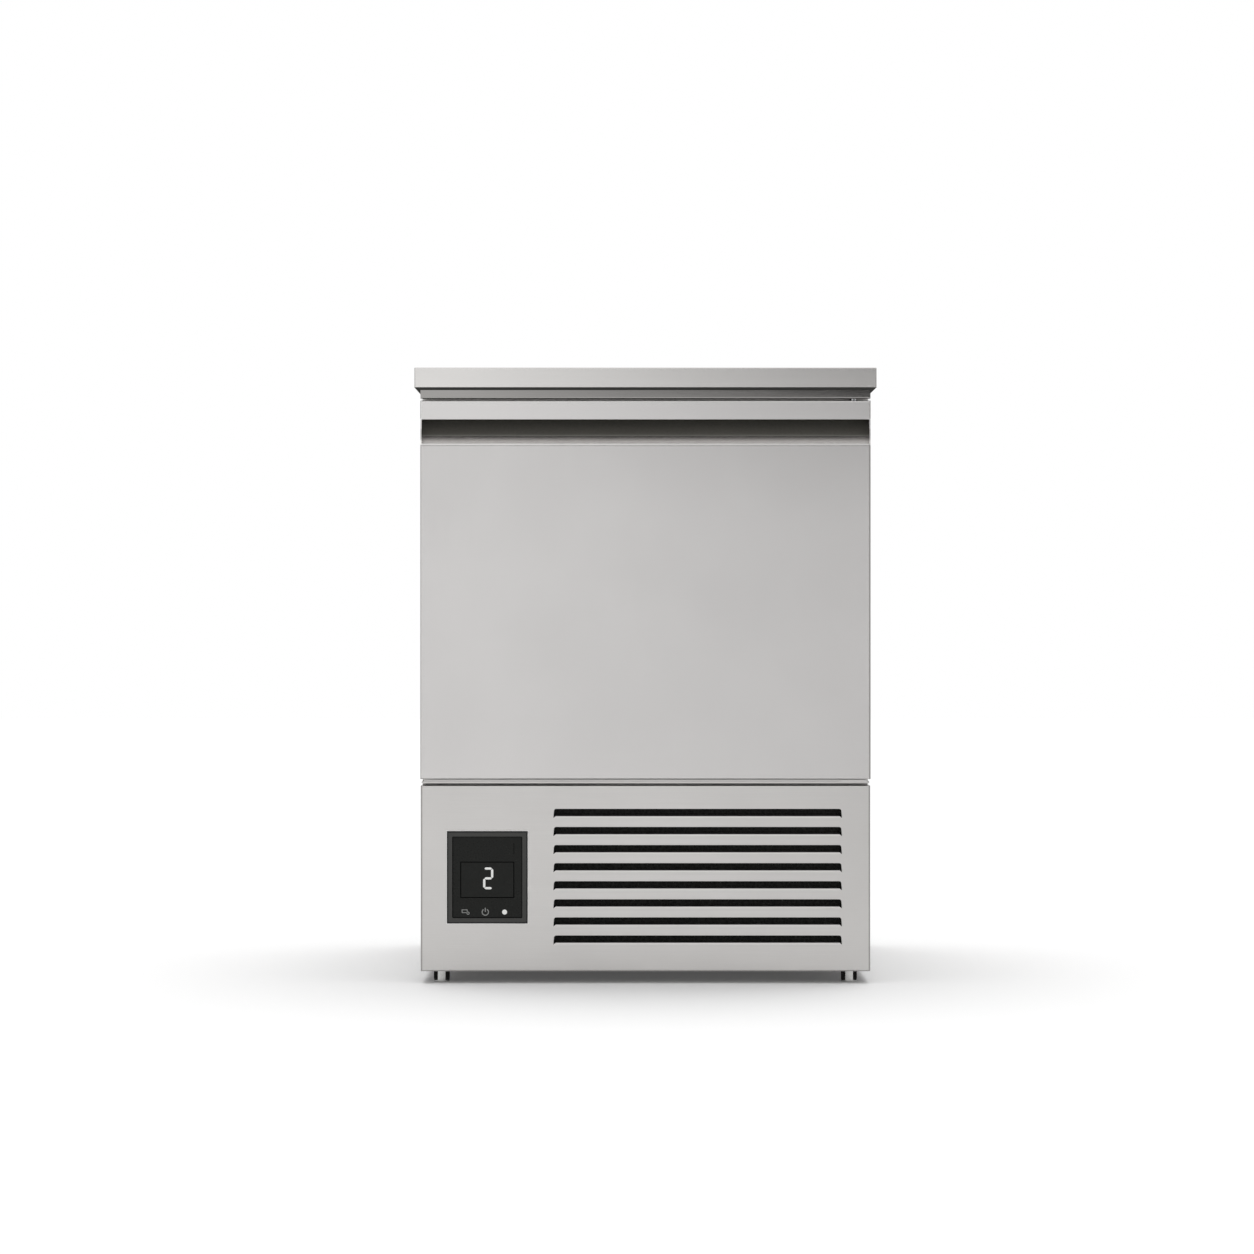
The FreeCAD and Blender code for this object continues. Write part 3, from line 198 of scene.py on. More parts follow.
tree.links.new(shine, shader.inputs["Specular IOR Level"])
print("painted shade under", worktop_steel.name)

# %% [markdown]
# The slope under the scoop is flat in the measured model. The real sheet is rolled there: it is brightest at its
# foot, where it turns to the light, and dark where it goes in under the rail. Tones by height paint that light and
# shade into the colour: a painted highlight at the foot and painted shade above it. The rail above gets a lighter
# tone, painted light. One loop lays the tones over the door's finish, each fading in between two heights, which are
# given in metres over the floor.

# %% Painted light and shade on the slope and the rail
tree = door_steel.node_tree
shader = tree.nodes["Principled BSDF"]
height = add(tree, "ShaderNodeSeparateXYZ", Vector=add(tree, "ShaderNodeTexCoord").outputs["Object"]).outputs["Z"]
tone = shader.inputs["Base Color"].links[0].from_socket
to_door = nodes["door_skin"].matrix_world.inverted()
PAINTED_TONES = ((0.6995, 0.7005, "#F4F2F0"), (0.7030, 0.7100, "#BAB8B7"), (0.7200, 0.7210, "#DCDAD9"))
for start, end, colour in PAINTED_TONES:
    start, end = [(to_door @ Vector((0.0, 0.0, z))).z for z in (start, end)]
    step = add(tree, "ShaderNodeMapRange", {"interpolation_type": "SMOOTHSTEP"}, Value=height, From_Min=start,
               From_Max=end)
    tone = add(tree, "ShaderNodeMix", {"data_type": "RGBA"}, Factor=step.outputs["Result"], i6=tone,
               i7=linear(colour)).outputs[2]
tree.links.new(tone, shader.inputs["Base Color"])
# A lighter steel for the strip over the foot of the slope: a painted highlight.
slope_highlight_steel = brushed_steel("painted highlight on the fold at the foot of the slope", upward, "#E8E6E5", "#E2E0DF", 0.3, 0.004)
print("tones on the door", len(PAINTED_TONES))

# %% [markdown]
# # Metals inside and behind
# The liner is bright rolled stainless, smoother than the outside and without grain. The back and the base are
# galvanised steel: hot zinc freezes into flat crystals (spangle) of about 8 mm, each with its own tint and gloss,
# which Voronoi cells draw well. The base tray's zinc is dull and grey, which keeps the slit under it dark. Fins are
# thin aluminium, pipes are drawn copper with a brown film where it was brazed, pins and screws are ground steel, and
# the feet are chrome plated.

# %% Liner, galvanised, aluminium, copper and ground steel
spangle = {"kind": "ShaderNodeTexVoronoi", "output": "Color", "low": 0.2, "high": 0.8, "swing": 0.08}
liner_steel = surface("bright rolled stainless steel", "#D2D1CF", "#CDCCCA", 1.0, 0.26, 110.0, 0.0, swing=0.02)
zinc_steel = surface("galvanised steel, spangled zinc", "#C0C5C7", "#A8AEB1", 1.0, 0.42, 8.0, 0.02, **spangle)
tray_steel = surface("galvanised tray, dull", "#8E8C8A", "#7C7A78", 1.0, 0.6, 40.0, 0.004)
fin_aluminium = surface("aluminium fins, stamped", "#D5D6D8", "#BFC1C3", 1.0, 0.34, 6.0, 0.04)
drawn_copper = surface("drawn copper, brazed", "#C77F58", "#9A5B3C", 1.0, 0.28, 14.0, 0.02)
ground_steel = surface("ground steel, polished", "#C4C5C7", "#AFB0B2", 1.0, 0.16, 5.0, 0.002)
foot_steel = surface("turned steel, chrome plated", "#CDCDCB", "#C3C3C1", 1.0, 0.12, 4.0, 0.002)
# A bright steel for the ring round the control's cut-out: a painted highlight of the cut edge.
cut_edge_highlight = surface("stainless steel, painted highlight of the cut edge", "#F2F1EF", "#ECEBE9", 1.0, 0.35, 2.0, 0.002)
print("spangle cells across the back:", round(0.585 / 0.008))

# %% [markdown]
# # Plastics, rubber, foam and paint
# Moulded ABS copies the etched texture of its mould, grains of about 0.8 mm here, drawn coarser than the real 0.2 mm
# so that they show. The touch face is hard coated polycarbonate, almost smooth, and the window over the display is
# the same plastic, smoother. The gasket is soft PVC with a dull, slightly blue grey skin. Foam shows its cells,
# enamel its faint orange peel and rubber its dust. All of them are dielectrics, so metallic is 0 and the IOR is that
# of the plastic.

# %% Moulded, coated and painted finishes
def plastic(name, light, dark, roughness, size, depth, ior=1.5, **sockets):
    """Plastic, rubber or paint: a dielectric with a fine even texture."""
    return surface(name, light, dark, 0.0, roughness, size, depth, IOR=ior, **sockets)


matt = {"Specular_IOR_Level": 0.25}
coated = {"Specular_IOR_Level": 0.12}
black_abs = plastic("black ABS, moulded with a fine texture", "#4C4C4A", "#484846", 0.46, 0.8, 0.03, 1.54, **matt)
touch_face = plastic("polycarbonate touch face, hard coated", "#212220", "#1F201E", 0.3, 2.5, 0.004, 1.58, **coated)
window_plastic = plastic("polycarbonate window, smoke tinted", "#212220", "#1F201E", 0.2, 3.0, 0.002, 1.58,
                         **coated)
# The grip's dark grey partly paints the shade of the recess under the rail.
grip_shade_abs = plastic("graphite ABS grip moulding, darkened for the recess's shade", "#696761", "#63615B", 0.4, 3.0, 0.003, 1.54)
inner_abs = plastic("black ABS housing, moulded", "#26272A", "#1F2022", 0.5, 1.2, 0.05, 1.54)
gasket_pvc = plastic("soft PVC gasket, extruded", "#8C9194", "#7E8386", 0.55, 1.0, 0.04, 1.53)
white_nylon = plastic("white nylon, moulded", "#E4E3DE", "#D8D7D1", 0.42, 1.0, 0.02, 1.53)
black_rubber = plastic("black rubber, moulded and dusty", "#2A2A2B", "#1E1E1F", 0.75, 0.9, 0.06, 1.52)
black_enamel = plastic("black enamel, baked on steel", "#1C1D1F", "#161719", 0.26, 2.2, 0.05, 1.5)
motor_paint = plastic("grey enamel, sprayed on a motor can", "#6F7478", "#63686C", 0.4, 1.6, 0.04, 1.5)
shelf_coat = plastic("grey polyethylene coat on steel wire", "#B9BCBE", "#ABAEB0", 0.38, 2.0, 0.05, 1.51)
glow = {"Emission_Color": (1.0, 1.0, 0.98, 1.0), "Emission_Strength": 0.22}
pale_ink = plastic("pale display segment, lit", "#F0F1EF", "#E6E7E5", 0.5, 0.6, 0.002, **glow)
dim_ink = plastic("dim grey display ink", "#A2A3A1", "#989997", 0.5, 0.6, 0.002)
seam_shadow = plastic("dark seam, in its own shade", "#030303", "#020202", 0.9, 0.6, 0.002, Specular_IOR_Level=0.0)

# %% [markdown]
# Two foams come last. The walls are filled with rigid polyurethane, whose cells of about 1.5 mm are drawn at 3 mm.
# The air filter behind the louvres is black open-cell foam; its black is painted shade for the dark machine
# compartment behind the slots, so the slots look black.

# %% Foams
foam_block = surface("rigid polyurethane foam, cut", "#EBDBAE", "#C9B27A", 0.0, 0.85, 3.0, 0.6, **CELLS)
# Its black is painted shade behind the louvre slots.
slot_shade_filter = surface("black open-cell filter foam, painted shade behind the slots", "#2C2C2A", "#141413", 0.0, 0.9, 3.0, 0.8, **CELLS,
                       Specular_IOR_Level=0.2)
print("materials so far", len(bpy.data.materials))

# %% [markdown]
# # One finish for each measured piece
# Every node of the cabinet comes in from model.glb. Every material slot of a node gets the finish of the real piece,
# and a node without slots gets one, so that nothing is left with a flat grey.

# %% Give every node its finish
finish_of = {
    worktop_steel: "worktop",
    header_steel: "header_rail",
    door_steel: "door_skin",
    side_steel: "left_side_panel right_side_panel",
    panel_steel: "front_louvre_panel door_sill front_frame",
    liner_steel: "inner_liner door_liner evaporator_cover shelf_clips shelf_uprights",
    tray_steel: "base_tray",
    zinc_steel: "back_panel rear_grille deck_sheet fan_shroud top_hinge_plate motor_straps foot_sockets",
    ground_steel: "rear_screws top_hinge_pin bottom_hinge_pin",
    foot_steel: "foot_front_left foot_front_right foot_rear_left foot_rear_right",
    fin_aluminium: "condenser_coil evaporator_coil",
    drawn_copper: "filter_drier discharge_pipe liquid_pipe capillary_pipe suction_pipe",
    black_abs: "control_bezel",
    touch_face: "control_face",
    window_plastic: "display_window",
    inner_abs: "cable_gland controller_housing condenser_fan evaporator_fan",
    grip_shade_abs: "door_grip",
    slot_shade_filter: "condenser_filter",
    gasket_pvc: "door_gasket",
    white_nylon: "top_hinge_bush closer_cartridge condensate_tray drain_pipe temperature_probe",
    black_rubber: "compressor_grommets",
    black_enamel: "compressor",
    motor_paint: "evaporator_motor condenser_motor",
    shelf_coat: "lower_shelf upper_shelf",
    foam_block: "cabinet_insulation door_insulation",
}
given = {}
for material, names in finish_of.items():
    for name in names.split():
        given[name] = material
for name, piece in nodes.items():
    for slot in piece.material_slots:
        slot.material = given[name]
    if not piece.material_slots:
        piece.data.materials.append(given[name])
print("nodes without a finish:", sorted(set(nodes) - set(given)))

# %% [markdown]
# # Folded edges
# A folded sheet never has a knife edge: the outside of the fold is about as round as the sheet is thick, 0.5 to 1 mm.
# That thin round catches the light and draws the bright line that tells the eye "sheet metal". The measured model
# keeps its faces flat and its edges sharp, so a Weld modifier joins the corners that came in apart, a Bevel rounds
# only edges sharper than 30 degrees, and a Weighted Normal keeps the flat faces flat.

# %% Round the edges of the sheets and mouldings
edge_round = {
    "worktop": 0.7, "header_rail": 0.5, "door_skin": 0.6, "front_louvre_panel": 0.35, "left_side_panel": 0.4,
    "right_side_panel": 0.4, "back_panel": 0.3, "door_sill": 0.3, "control_bezel": 0.5, "control_face": 0.25,
    "door_liner": 0.8, "door_gasket": 1.2, "inner_liner": 0.4, "evaporator_cover": 0.5, "foot_front_left": 0.8,
    "foot_front_right": 0.8, "foot_rear_left": 0.8, "foot_rear_right": 0.8, "shelf_clips": 0.3, "front_frame": 0.3,
    "cable_gland": 0.6, "controller_housing": 0.8, "condensate_tray": 0.4, "base_tray": 0.4, "fan_shroud": 0.4,
}


def round_edges(piece, width):
    """Small even round on the sharp edges of one piece."""
    weld = piece.modifiers.new("join corners", "WELD")
    weld.merge_threshold = 0.00002
    bevel = piece.modifiers.new("fold radius", "BEVEL")
    bevel.width = width * mm
    bevel.segments = 2
    bevel.limit_method = "ANGLE"
    bevel.angle_limit = math.radians(30)
    bevel.use_clamp_overlap = True
    bevel.miter_outer = "MITER_ARC"
    piece.modifiers.new("flat faces", "WEIGHTED_NORMAL").keep_sharp = True


for name, width in edge_round.items():
    round_edges(nodes[name], width)
print("rounded", len(edge_round), "pieces")

# %% [markdown]
# # Small pieces as meshes
# The printed marks and small fittings are meshes made point by point. One function turns a bmesh into a piece, gives
# it its finish and lets it ride on the body that carries it. Another lays a flat outline as a thin plate: the outline
# is given in X and Z, as seen from the front, and the plate grows toward the viewer. Plates that only mark a face
# are THIN, and their backs are SUNK into it by a hair, so that no gap shows.

# %% Make a piece and a thin plate
SUNK = 0.02 * mm
THIN = 0.05 * mm


def piece_from(shape, name, material, body):
    """Object from a bmesh, finished and riding on a body."""
    bmesh.ops.recalc_face_normals(shape, faces=shape.faces)
    mesh = bpy.data.meshes.new(name)
    shape.to_mesh(mesh)
    shape.free()
    mesh.materials.append(material)
    piece = bpy.data.objects.new(name, mesh)
    scene.collection.objects.link(piece)
    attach(piece, body)
    return piece


def add_plate(shape, outline, back, thick):
    """Thin plate from (x, z) corners in metres, its back at y = back, added to a bmesh."""
    rear = [shape.verts.new((x, back, z)) for x, z in outline]
    front = [shape.verts.new((x, back - thick, z)) for x, z in outline]
    shape.faces.new(front)
    shape.faces.new(rear[::-1])
    for i in range(len(outline)):
        j = (i + 1) % len(outline)
        shape.faces.new((front[i], rear[i], rear[j], front[j]))


def frame_plate(shape, low, high, width, back, thick):
    """Rectangular ring between two corners, its bars width wide, with mitred corners."""
    (x0, z0), (x1, z1) = low, high
    outer = [(x0, z0), (x1, z0), (x1, z1), (x0, z1)]
    inner = [(x0 + width, z0 + width), (x1 - width, z0 + width), (x1 - width, z1 - width), (x0 + width, z1 - width)]
    for i in range(4):
        j = (i + 1) % 4
        add_plate(shape, [outer[i], outer[j], inner[j], inner[i]], back, thick)


# %% [markdown]
# # The display
# The window is a separate plate set in the touch face, so a hair line shows round it. Behind it a seven-segment digit
# glows weakly: each bar is a long hexagon, cut to a point where two bars meet. Five bars make the number 2. The digit
# is laid on the window as a printed layer a tenth of a millimetre thick.

# %% Window seam
window_low, window_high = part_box("display_window")
face_low, face_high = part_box("control_face")
seam = bmesh.new()
SEAM = 1.1 * mm
frame_plate(seam, (window_low.x - SEAM / 2, window_low.z - SEAM / 2),
            (window_high.x + SEAM / 2, window_high.z + SEAM / 2), SEAM, face_low.y + SUNK, 0.07 * mm)
piece_from(seam, "window_seam", seam_shadow, "cabinet")
print("window", [round((b - a) / mm, 1) for a, b in zip(window_low, window_high)], "mm")

# %% Seven-segment digit
DIGIT_WIDE, DIGIT_HIGH, BAR, GAP = 13.2 * mm, 28.4 * mm, 2.9 * mm, 0.35 * mm
digit_middle = Vector((-204.3 * mm, 0.0, 136.7 * mm))
LAYER = 0.1 * mm


def add_bar(shape, start, end, back):
    """Long hexagon between two (x, z) points, its width BAR."""
    start, end = Vector(start), Vector(end)
    along = (end - start).normalized()
    side = Vector((-along.y, along.x)) * BAR / 2
    start, end = start + along * GAP, end - along * GAP
    tip = along * BAR / 2
    outline = [start, start + tip + side, end - tip + side, end, end - tip - side, start + tip - side]
    add_plate(shape, [tuple(p) for p in outline], back, LAYER)


half_w, half_h = (DIGIT_WIDE - BAR) / 2, (DIGIT_HIGH - BAR) / 2
left, right = digit_middle.x - half_w, digit_middle.x + half_w
low, mid, high = digit_middle.z - half_h, digit_middle.z, digit_middle.z + half_h
bars = [((left, high), (right, high)), ((right, high), (right, mid)), ((right, mid), (left, mid)),
        ((left, mid), (left, low)), ((left, low), (right, low))]
digit = bmesh.new()
for start, end in bars:
    add_bar(digit, start, end, window_low.y)
piece_from(digit, "display_digit", pale_ink, "cabinet")
print("digit bars", len(bars))

# %% [markdown]
# # Touch symbols
# Three small symbols are printed under the window: a defrost key, a power key and a plain dot. They are ordinary
# symbols that any such control has. Arcs are drawn as short plates set end to end, fine enough to look round.

# %% Arc and disc outlines
def arc_points(centre, radius, start, end, steps):
    """Points (x, z) on an arc, angles in degrees from the right, upward positive."""
    points = []
    for i in range(steps + 1):
        angle = math.radians(start + (end - start) * i / steps)
        points.append((centre[0] + radius * math.cos(angle), centre[1] + radius * math.sin(angle)))
    return points


def add_arc(shape, centre, radius, width, start, end, steps, back):
    """Band width wide that follows an arc."""
    outer = arc_points(centre, radius + width / 2, start, end, steps)
    inner = arc_points(centre, radius - width / 2, start, end, steps)
    for i in range(steps):
        add_plate(shape, [outer[i], outer[i + 1], inner[i + 1], inner[i]], back, LAYER)


ICON_Z = 92.9 * mm
STROKE = 1.25 * mm
keys_back = face_low.y

# %% Power key, defrost key and dot
power = bmesh.new()
power_at = (-208.1 * mm, ICON_Z)
add_arc(power, power_at, 4.1 * mm, STROKE, 125, 415, 28, keys_back)
add_plate(power, [(power_at[0] - STROKE / 2, ICON_Z + 0.2 * mm), (power_at[0] + STROKE / 2, ICON_Z + 0.2 * mm),
                  (power_at[0] + STROKE / 2, ICON_Z + 5.6 * mm), (power_at[0] - STROKE / 2, ICON_Z + 5.6 * mm)],
          keys_back, LAYER)
piece_from(power, "power_symbol", dim_ink, "cabinet")

defrost = bmesh.new()
key_x = -233.7 * mm
frame_plate(defrost, (key_x - 5.0 * mm, ICON_Z - 1.2 * mm), (key_x + 2.6 * mm, ICON_Z + 3.4 * mm), 1.0 * mm,
            keys_back, LAYER)
add_arc(defrost, (key_x + 3.2 * mm, ICON_Z - 1.4 * mm), 1.5 * mm, 1.0 * mm, 0, 360, 16, keys_back)
piece_from(defrost, "defrost_symbol", dim_ink, "cabinet")

dot = bmesh.new()
add_plate(dot, arc_points((-183.0 * mm, ICON_Z), 3.2 * mm, 0, 350, 35), keys_back, LAYER)
piece_from(dot, "dot_symbol", pale_ink, "cabinet")

mark = bmesh.new()
add_plate(mark, [(-171.2 * mm, 168.0 * mm), (-170.6 * mm, 168.0 * mm), (-170.6 * mm, 183.0 * mm),
                 (-171.2 * mm, 183.0 * mm)], keys_back, LAYER)
piece_from(mark, "edge_mark", seam_shadow, "cabinet")
print("symbols at", round(ICON_Z / mm, 1), "mm")

# %% [markdown]
# # The cut-out of the control
# The control sits in a hole cut in the panel. A bright hair line all round the cut edge is a painted highlight: a
# thin ring laid on the panel, outside the dark ring round the control.

# %% Painted highlight round the bezel
bezel_low, bezel_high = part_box("control_bezel")
panel_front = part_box("front_louvre_panel")[0].y
RIM = 1.8 * mm
rim = bmesh.new()
frame_plate(rim, (bezel_low.x - RIM, bezel_low.z - RIM), (bezel_high.x + RIM, bezel_high.z + RIM), 0.9 * mm,
            panel_front + SUNK, THIN)
piece_from(rim, "control_cutout_highlight", cut_edge_highlight, "cabinet")
print("bezel", [round((b - a) / mm, 1) for a, b in zip(bezel_low, bezel_high)], "mm")

# %% [markdown]
# # Edges and seams of the front
# The door and the lower panel are trays of 1 mm sheet: their front turns back at the sides in a soft fold, which
# mirrors the dark sides of the room as a thin line. Narrow strips of darker steel paint that reflection and shade
# along the folds, and along the bottom of the lower panel. A dark ring of black rubber round the bezel, lying over
# its outer edge, paints the shade of that edge, and a dark joint runs between the bezel and the touch face. A thin
# light strip over the foot of the slope is a painted highlight of the fold there. The sill has an upstand that
# closes most of the gap under the door. At the hinge it steps forward, clear of the closer's flange, whose corners
# swing out as the door opens.

# %% Painted shade along the folded edges
def strip_piece(name, spans, back, thick, material, body):
    """Thin flat strips on a front face; spans are (x0, z0, x1, z1) in metres."""
    shape = bmesh.new()
    for x0, z0, x1, z1 in spans:
        add_plate(shape, [(x0, z0), (x1, z0), (x1, z1), (x0, z1)], back, thick)
    return piece_from(shape, name, material, body)


FOLD = 2.0 * mm
LEFT_FOLD = 0.9 * mm
panel_low, panel_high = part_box("front_louvre_panel")
skin_low, skin_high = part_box("door_skin")
rail_bottom = 0.7335
door_face_top = 0.6995
# Darker strips along the folds paint their shade and dark reflection.
strip_piece("panel_fold_shade", [
    (panel_low.x, panel_low.z, panel_low.x + FOLD, panel_high.z),
    (panel_high.x - FOLD, panel_low.z, panel_high.x, panel_high.z),
    (panel_low.x + FOLD, panel_low.z, panel_high.x - FOLD, panel_low.z + 1.2 * mm),
], panel_front + SUNK, THIN, fold_shade_steel, "cabinet")
strip_piece("door_fold_shade", [
    (skin_low.x, skin_low.z, skin_low.x + LEFT_FOLD, door_face_top),
    (skin_high.x - FOLD, skin_low.z, skin_high.x, door_face_top),
    (skin_low.x, rail_bottom, skin_low.x + LEFT_FOLD, skin_high.z),
    (skin_high.x - 1.2 * mm, rail_bottom, skin_high.x, skin_high.z),
], skin_low.y + SUNK, THIN, fold_shade_steel, "door")
print("folds", round(FOLD / mm, 1), "mm wide")

# %% Upstand of the sill
sill_low, sill_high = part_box("door_sill")
hinge_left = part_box("closer_cartridge")[0].x - 7 * mm
foot_z, rim_z = sill_high.z - 0.1 * mm, skin_low.z - 0.9 * mm
MAIN_BACK, HINGE_BACK = -302.5 * mm, -306.4 * mm
UPSTAND_SHEET = 1.6 * mm
upstand = bmesh.new()
for x0, x1, back in ((sill_low.x + 3 * mm, hinge_left, MAIN_BACK), (hinge_left, sill_high.x - 3 * mm, HINGE_BACK)):
    add_plate(upstand, [(x0, foot_z), (x1, foot_z), (x1, rim_z), (x0, rim_z)], back, UPSTAND_SHEET)
piece_from(upstand, "sill_upstand", panel_steel, "cabinet")
print("gap under the door", round((skin_low.z - sill_high.z) / mm, 1), "mm")

# %% Painted highlight along the foot of the slope
highlight_span = (skin_low.x + 1.5 * mm, door_face_top - 0.4 * mm, skin_high.x - 2.5 * mm, door_face_top + 2.0 * mm)
strip_piece("scoop_edge_highlight", [highlight_span], skin_low.y + SUNK, THIN, slope_highlight_steel, "door")
print("line over the foot of the slope", round((highlight_span[3] - highlight_span[1]) / mm, 1), "mm high")

# %% Painted shade round the bezel, and the joint of the control
bezel_edge_shade = bmesh.new()
EDGE_SHADE_WIDTH = 0.9 * mm
frame_plate(bezel_edge_shade, (bezel_low.x - EDGE_SHADE_WIDTH, bezel_low.z - EDGE_SHADE_WIDTH),
            (bezel_high.x + EDGE_SHADE_WIDTH, bezel_high.z + EDGE_SHADE_WIDTH), EDGE_SHADE_WIDTH, panel_front + SUNK, 0.7 * mm)
frame_plate(bezel_edge_shade, (bezel_low.x - EDGE_SHADE_WIDTH, bezel_low.z - EDGE_SHADE_WIDTH),
            (bezel_high.x + EDGE_SHADE_WIDTH, bezel_high.z + EDGE_SHADE_WIDTH), 2.0 * EDGE_SHADE_WIDTH, bezel_low.y + SUNK, 0.12 * mm)
piece_from(bezel_edge_shade, "control_edge_shade", black_rubber, "cabinet")
joint = bmesh.new()
frame_plate(joint, (face_low.x, face_low.z), (face_high.x, face_high.z), 0.9 * mm, face_low.y + SUNK, 0.06 * mm)
piece_from(joint, "bezel_joint", seam_shadow, "cabinet")
print("dark ring round the bezel", round(EDGE_SHADE_WIDTH / mm, 1), "mm")

# %% [markdown]
# # Wire guard, screws and slots inside
# The evaporator fan is guarded by rings of steel wire held by four spokes. A wire is a circle swept along a path: a
# ring of points is laid across the path at each step, at right angles to it.

# %% Sweep a round wire along a path
def add_wire(shape, points, radius, closed, sides=8):
    """Round wire along points (Vectors), added to a bmesh."""
    count = len(points)
    rings = []
    for i, point in enumerate(points):
        before = points[(i - 1) % count] if closed or i else point
        after = points[(i + 1) % count] if closed or i < count - 1 else point
        along = (after - before).normalized()
        across = along.cross(Vector((0.0, 1.0, 0.0)))
        if across.length < 0.2:
            across = along.cross(Vector((1.0, 0.0, 0.0)))
        across.normalize()
        other = along.cross(across)
        ring = []
        for k in range(sides):
            turn = 2 * math.pi * k / sides
            ring.append(shape.verts.new(point + (across * math.cos(turn) + other * math.sin(turn)) * radius))
        rings.append(ring)
    for i in range(count if closed else count - 1):
        a, b = rings[i], rings[(i + 1) % count]
        for k in range(sides):
            m = (k + 1) % sides
            shape.faces.new((a[k], a[m], b[m], b[k])).smooth = True
    if not closed:
        shape.faces.new(rings[0])
        shape.faces.new(rings[-1][::-1])


fan_low, fan_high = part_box("evaporator_fan")
fan_x, fan_z = (fan_low.x + fan_high.x) / 2, (fan_low.z + fan_high.z) / 2
cover_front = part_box("evaporator_cover")[0].y
WIRE = 0.9 * mm
GUARD_REACH = 52
guard = bmesh.new()
for ring_radius in (10, 19, 28, 37, 46):
    ring_points = [Vector((x, cover_front - WIRE, z))
                   for x, z in arc_points((fan_x, fan_z), ring_radius * mm, 0, 352.5, 47)]
    add_wire(guard, ring_points, WIRE, True, 6)
for angle in (45, 135, 225, 315):
    turn = math.radians(angle)
    ends = [Vector((fan_x + r * mm * math.cos(turn), cover_front - 2.5 * WIRE, fan_z + r * mm * math.sin(turn)))
            for r in (9, GUARD_REACH)]
    add_wire(guard, ends, WIRE * 1.2, False, 6)
piece_from(guard, "fan_guard", ground_steel, "cabinet")
print("guard reaches", GUARD_REACH, "mm from the fan's middle")


# %% Pan-head screws
def add_screw(shape, x, y, z, radius, height):
    """Pan head that points to the front; y is the face it sits on."""
    profile = [(radius, 0.0), (radius, height * 0.45), (radius * 0.8, height * 0.85), (radius * 0.4, height)]
    rings = []
    for r, h in profile:
        rings.append([shape.verts.new((x + r * math.cos(k * math.pi / 8), y - h, z + r * math.sin(k * math.pi / 8)))
                      for k in range(16)])
    for a, b in zip(rings, rings[1:]):
        for k in range(16):
            shape.faces.new((a[k], a[(k + 1) % 16], b[(k + 1) % 16], b[k])).smooth = True
    shape.faces.new(rings[-1])
    shape.faces.new(rings[0][::-1])


cover_low, cover_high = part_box("evaporator_cover")
screws = bmesh.new()
for angle in (45, 135, 225, 315):
    turn = math.radians(angle)
    screw_x, screw_z = fan_x + 56 * mm * math.cos(turn), fan_z + 56 * mm * math.sin(turn)
    add_screw(screws, screw_x, cover_front, screw_z, 3.2 * mm, 2 * mm)
for x in (cover_low.x + 12 * mm, cover_high.x - 12 * mm):
    for z in (cover_low.z + 12 * mm, cover_high.z - 12 * mm):
        add_screw(screws, x, cover_front, z, 3.5 * mm, 2.2 * mm)
piece_from(screws, "cover_screws", ground_steel, "cabinet")
print("screws", 8)

# %% [markdown]
# The four shelf uprights are punched with slots every 25 mm for the clips. The slots are laid on as dark plates on
# the side that faces the inside of the cabinet. Each upright is one loose part of the measured piece, found by
# walking from corner to corner along its edges.

# %% Slots of the uprights
def part_boxes(name):
    """Lowest and highest corners of every loose part of a measured piece."""
    piece = nodes[name]
    mesh = bmesh.new()
    mesh.from_mesh(piece.data)
    bmesh.ops.remove_doubles(mesh, verts=mesh.verts, dist=0.00002)
    left_over = set(mesh.verts)
    boxes = []
    while left_over:
        group, edge_of_group = set(), [left_over.pop()]
        while edge_of_group:
            vert = edge_of_group.pop()
            group.add(vert)
            for edge in vert.link_edges:
                other = edge.other_vert(vert)
                if other in left_over:
                    left_over.discard(other)
                    edge_of_group.append(other)
        spots = [piece.matrix_world @ vert.co for vert in group]
        boxes.append(([min(s[i] for s in spots) for i in range(3)], [max(s[i] for s in spots) for i in range(3)]))
    mesh.free()
    return boxes


SLOT_PITCH, SLOT_HIGH, SLOT_END = 25 * mm, 9 * mm, 20 * mm
slots = bmesh.new()
slot_count = 0
for low, high in part_boxes("shelf_uprights"):
    inward = -1 if low[0] > 0 else 1
    face_x = high[0] if inward > 0 else low[0]
    middle_y = (low[1] + high[1]) / 2
    z = low[2] + SLOT_END
    while z < high[2] - SLOT_END:
        near = face_x - inward * SUNK
        far = face_x + inward * THIN
        y0, y1, top = middle_y - 2 * mm, middle_y + 2 * mm, z + SLOT_HIGH
        corners = [(y0, z), (y1, z), (y1, top), (y0, top)]
        back_ring = [slots.verts.new((near, y, h)) for y, h in corners]
        front_ring = [slots.verts.new((far, y, h)) for y, h in corners]
        slots.faces.new(back_ring)
        slots.faces.new(front_ring[::-1])
        for i in range(4):
            slots.faces.new((back_ring[i], back_ring[(i + 1) % 4], front_ring[(i + 1) % 4], front_ring[i]))
        slot_count += 1
        z += SLOT_PITCH
piece_from(slots, "upright_slots", seam_shadow, "cabinet")
print("slots in the uprights", slot_count)

# %% [markdown]
# # Floor and background
# The cabinet stands on a seamless white floor. Evenly lit, a white floor still renders a little below white, so its
# colour is lifted for the camera and it is lit weakly from beneath, like a light table, until the open floor is just
# white. The soft shadow round the base stays, and the dark slit under the base doesn't turn black.

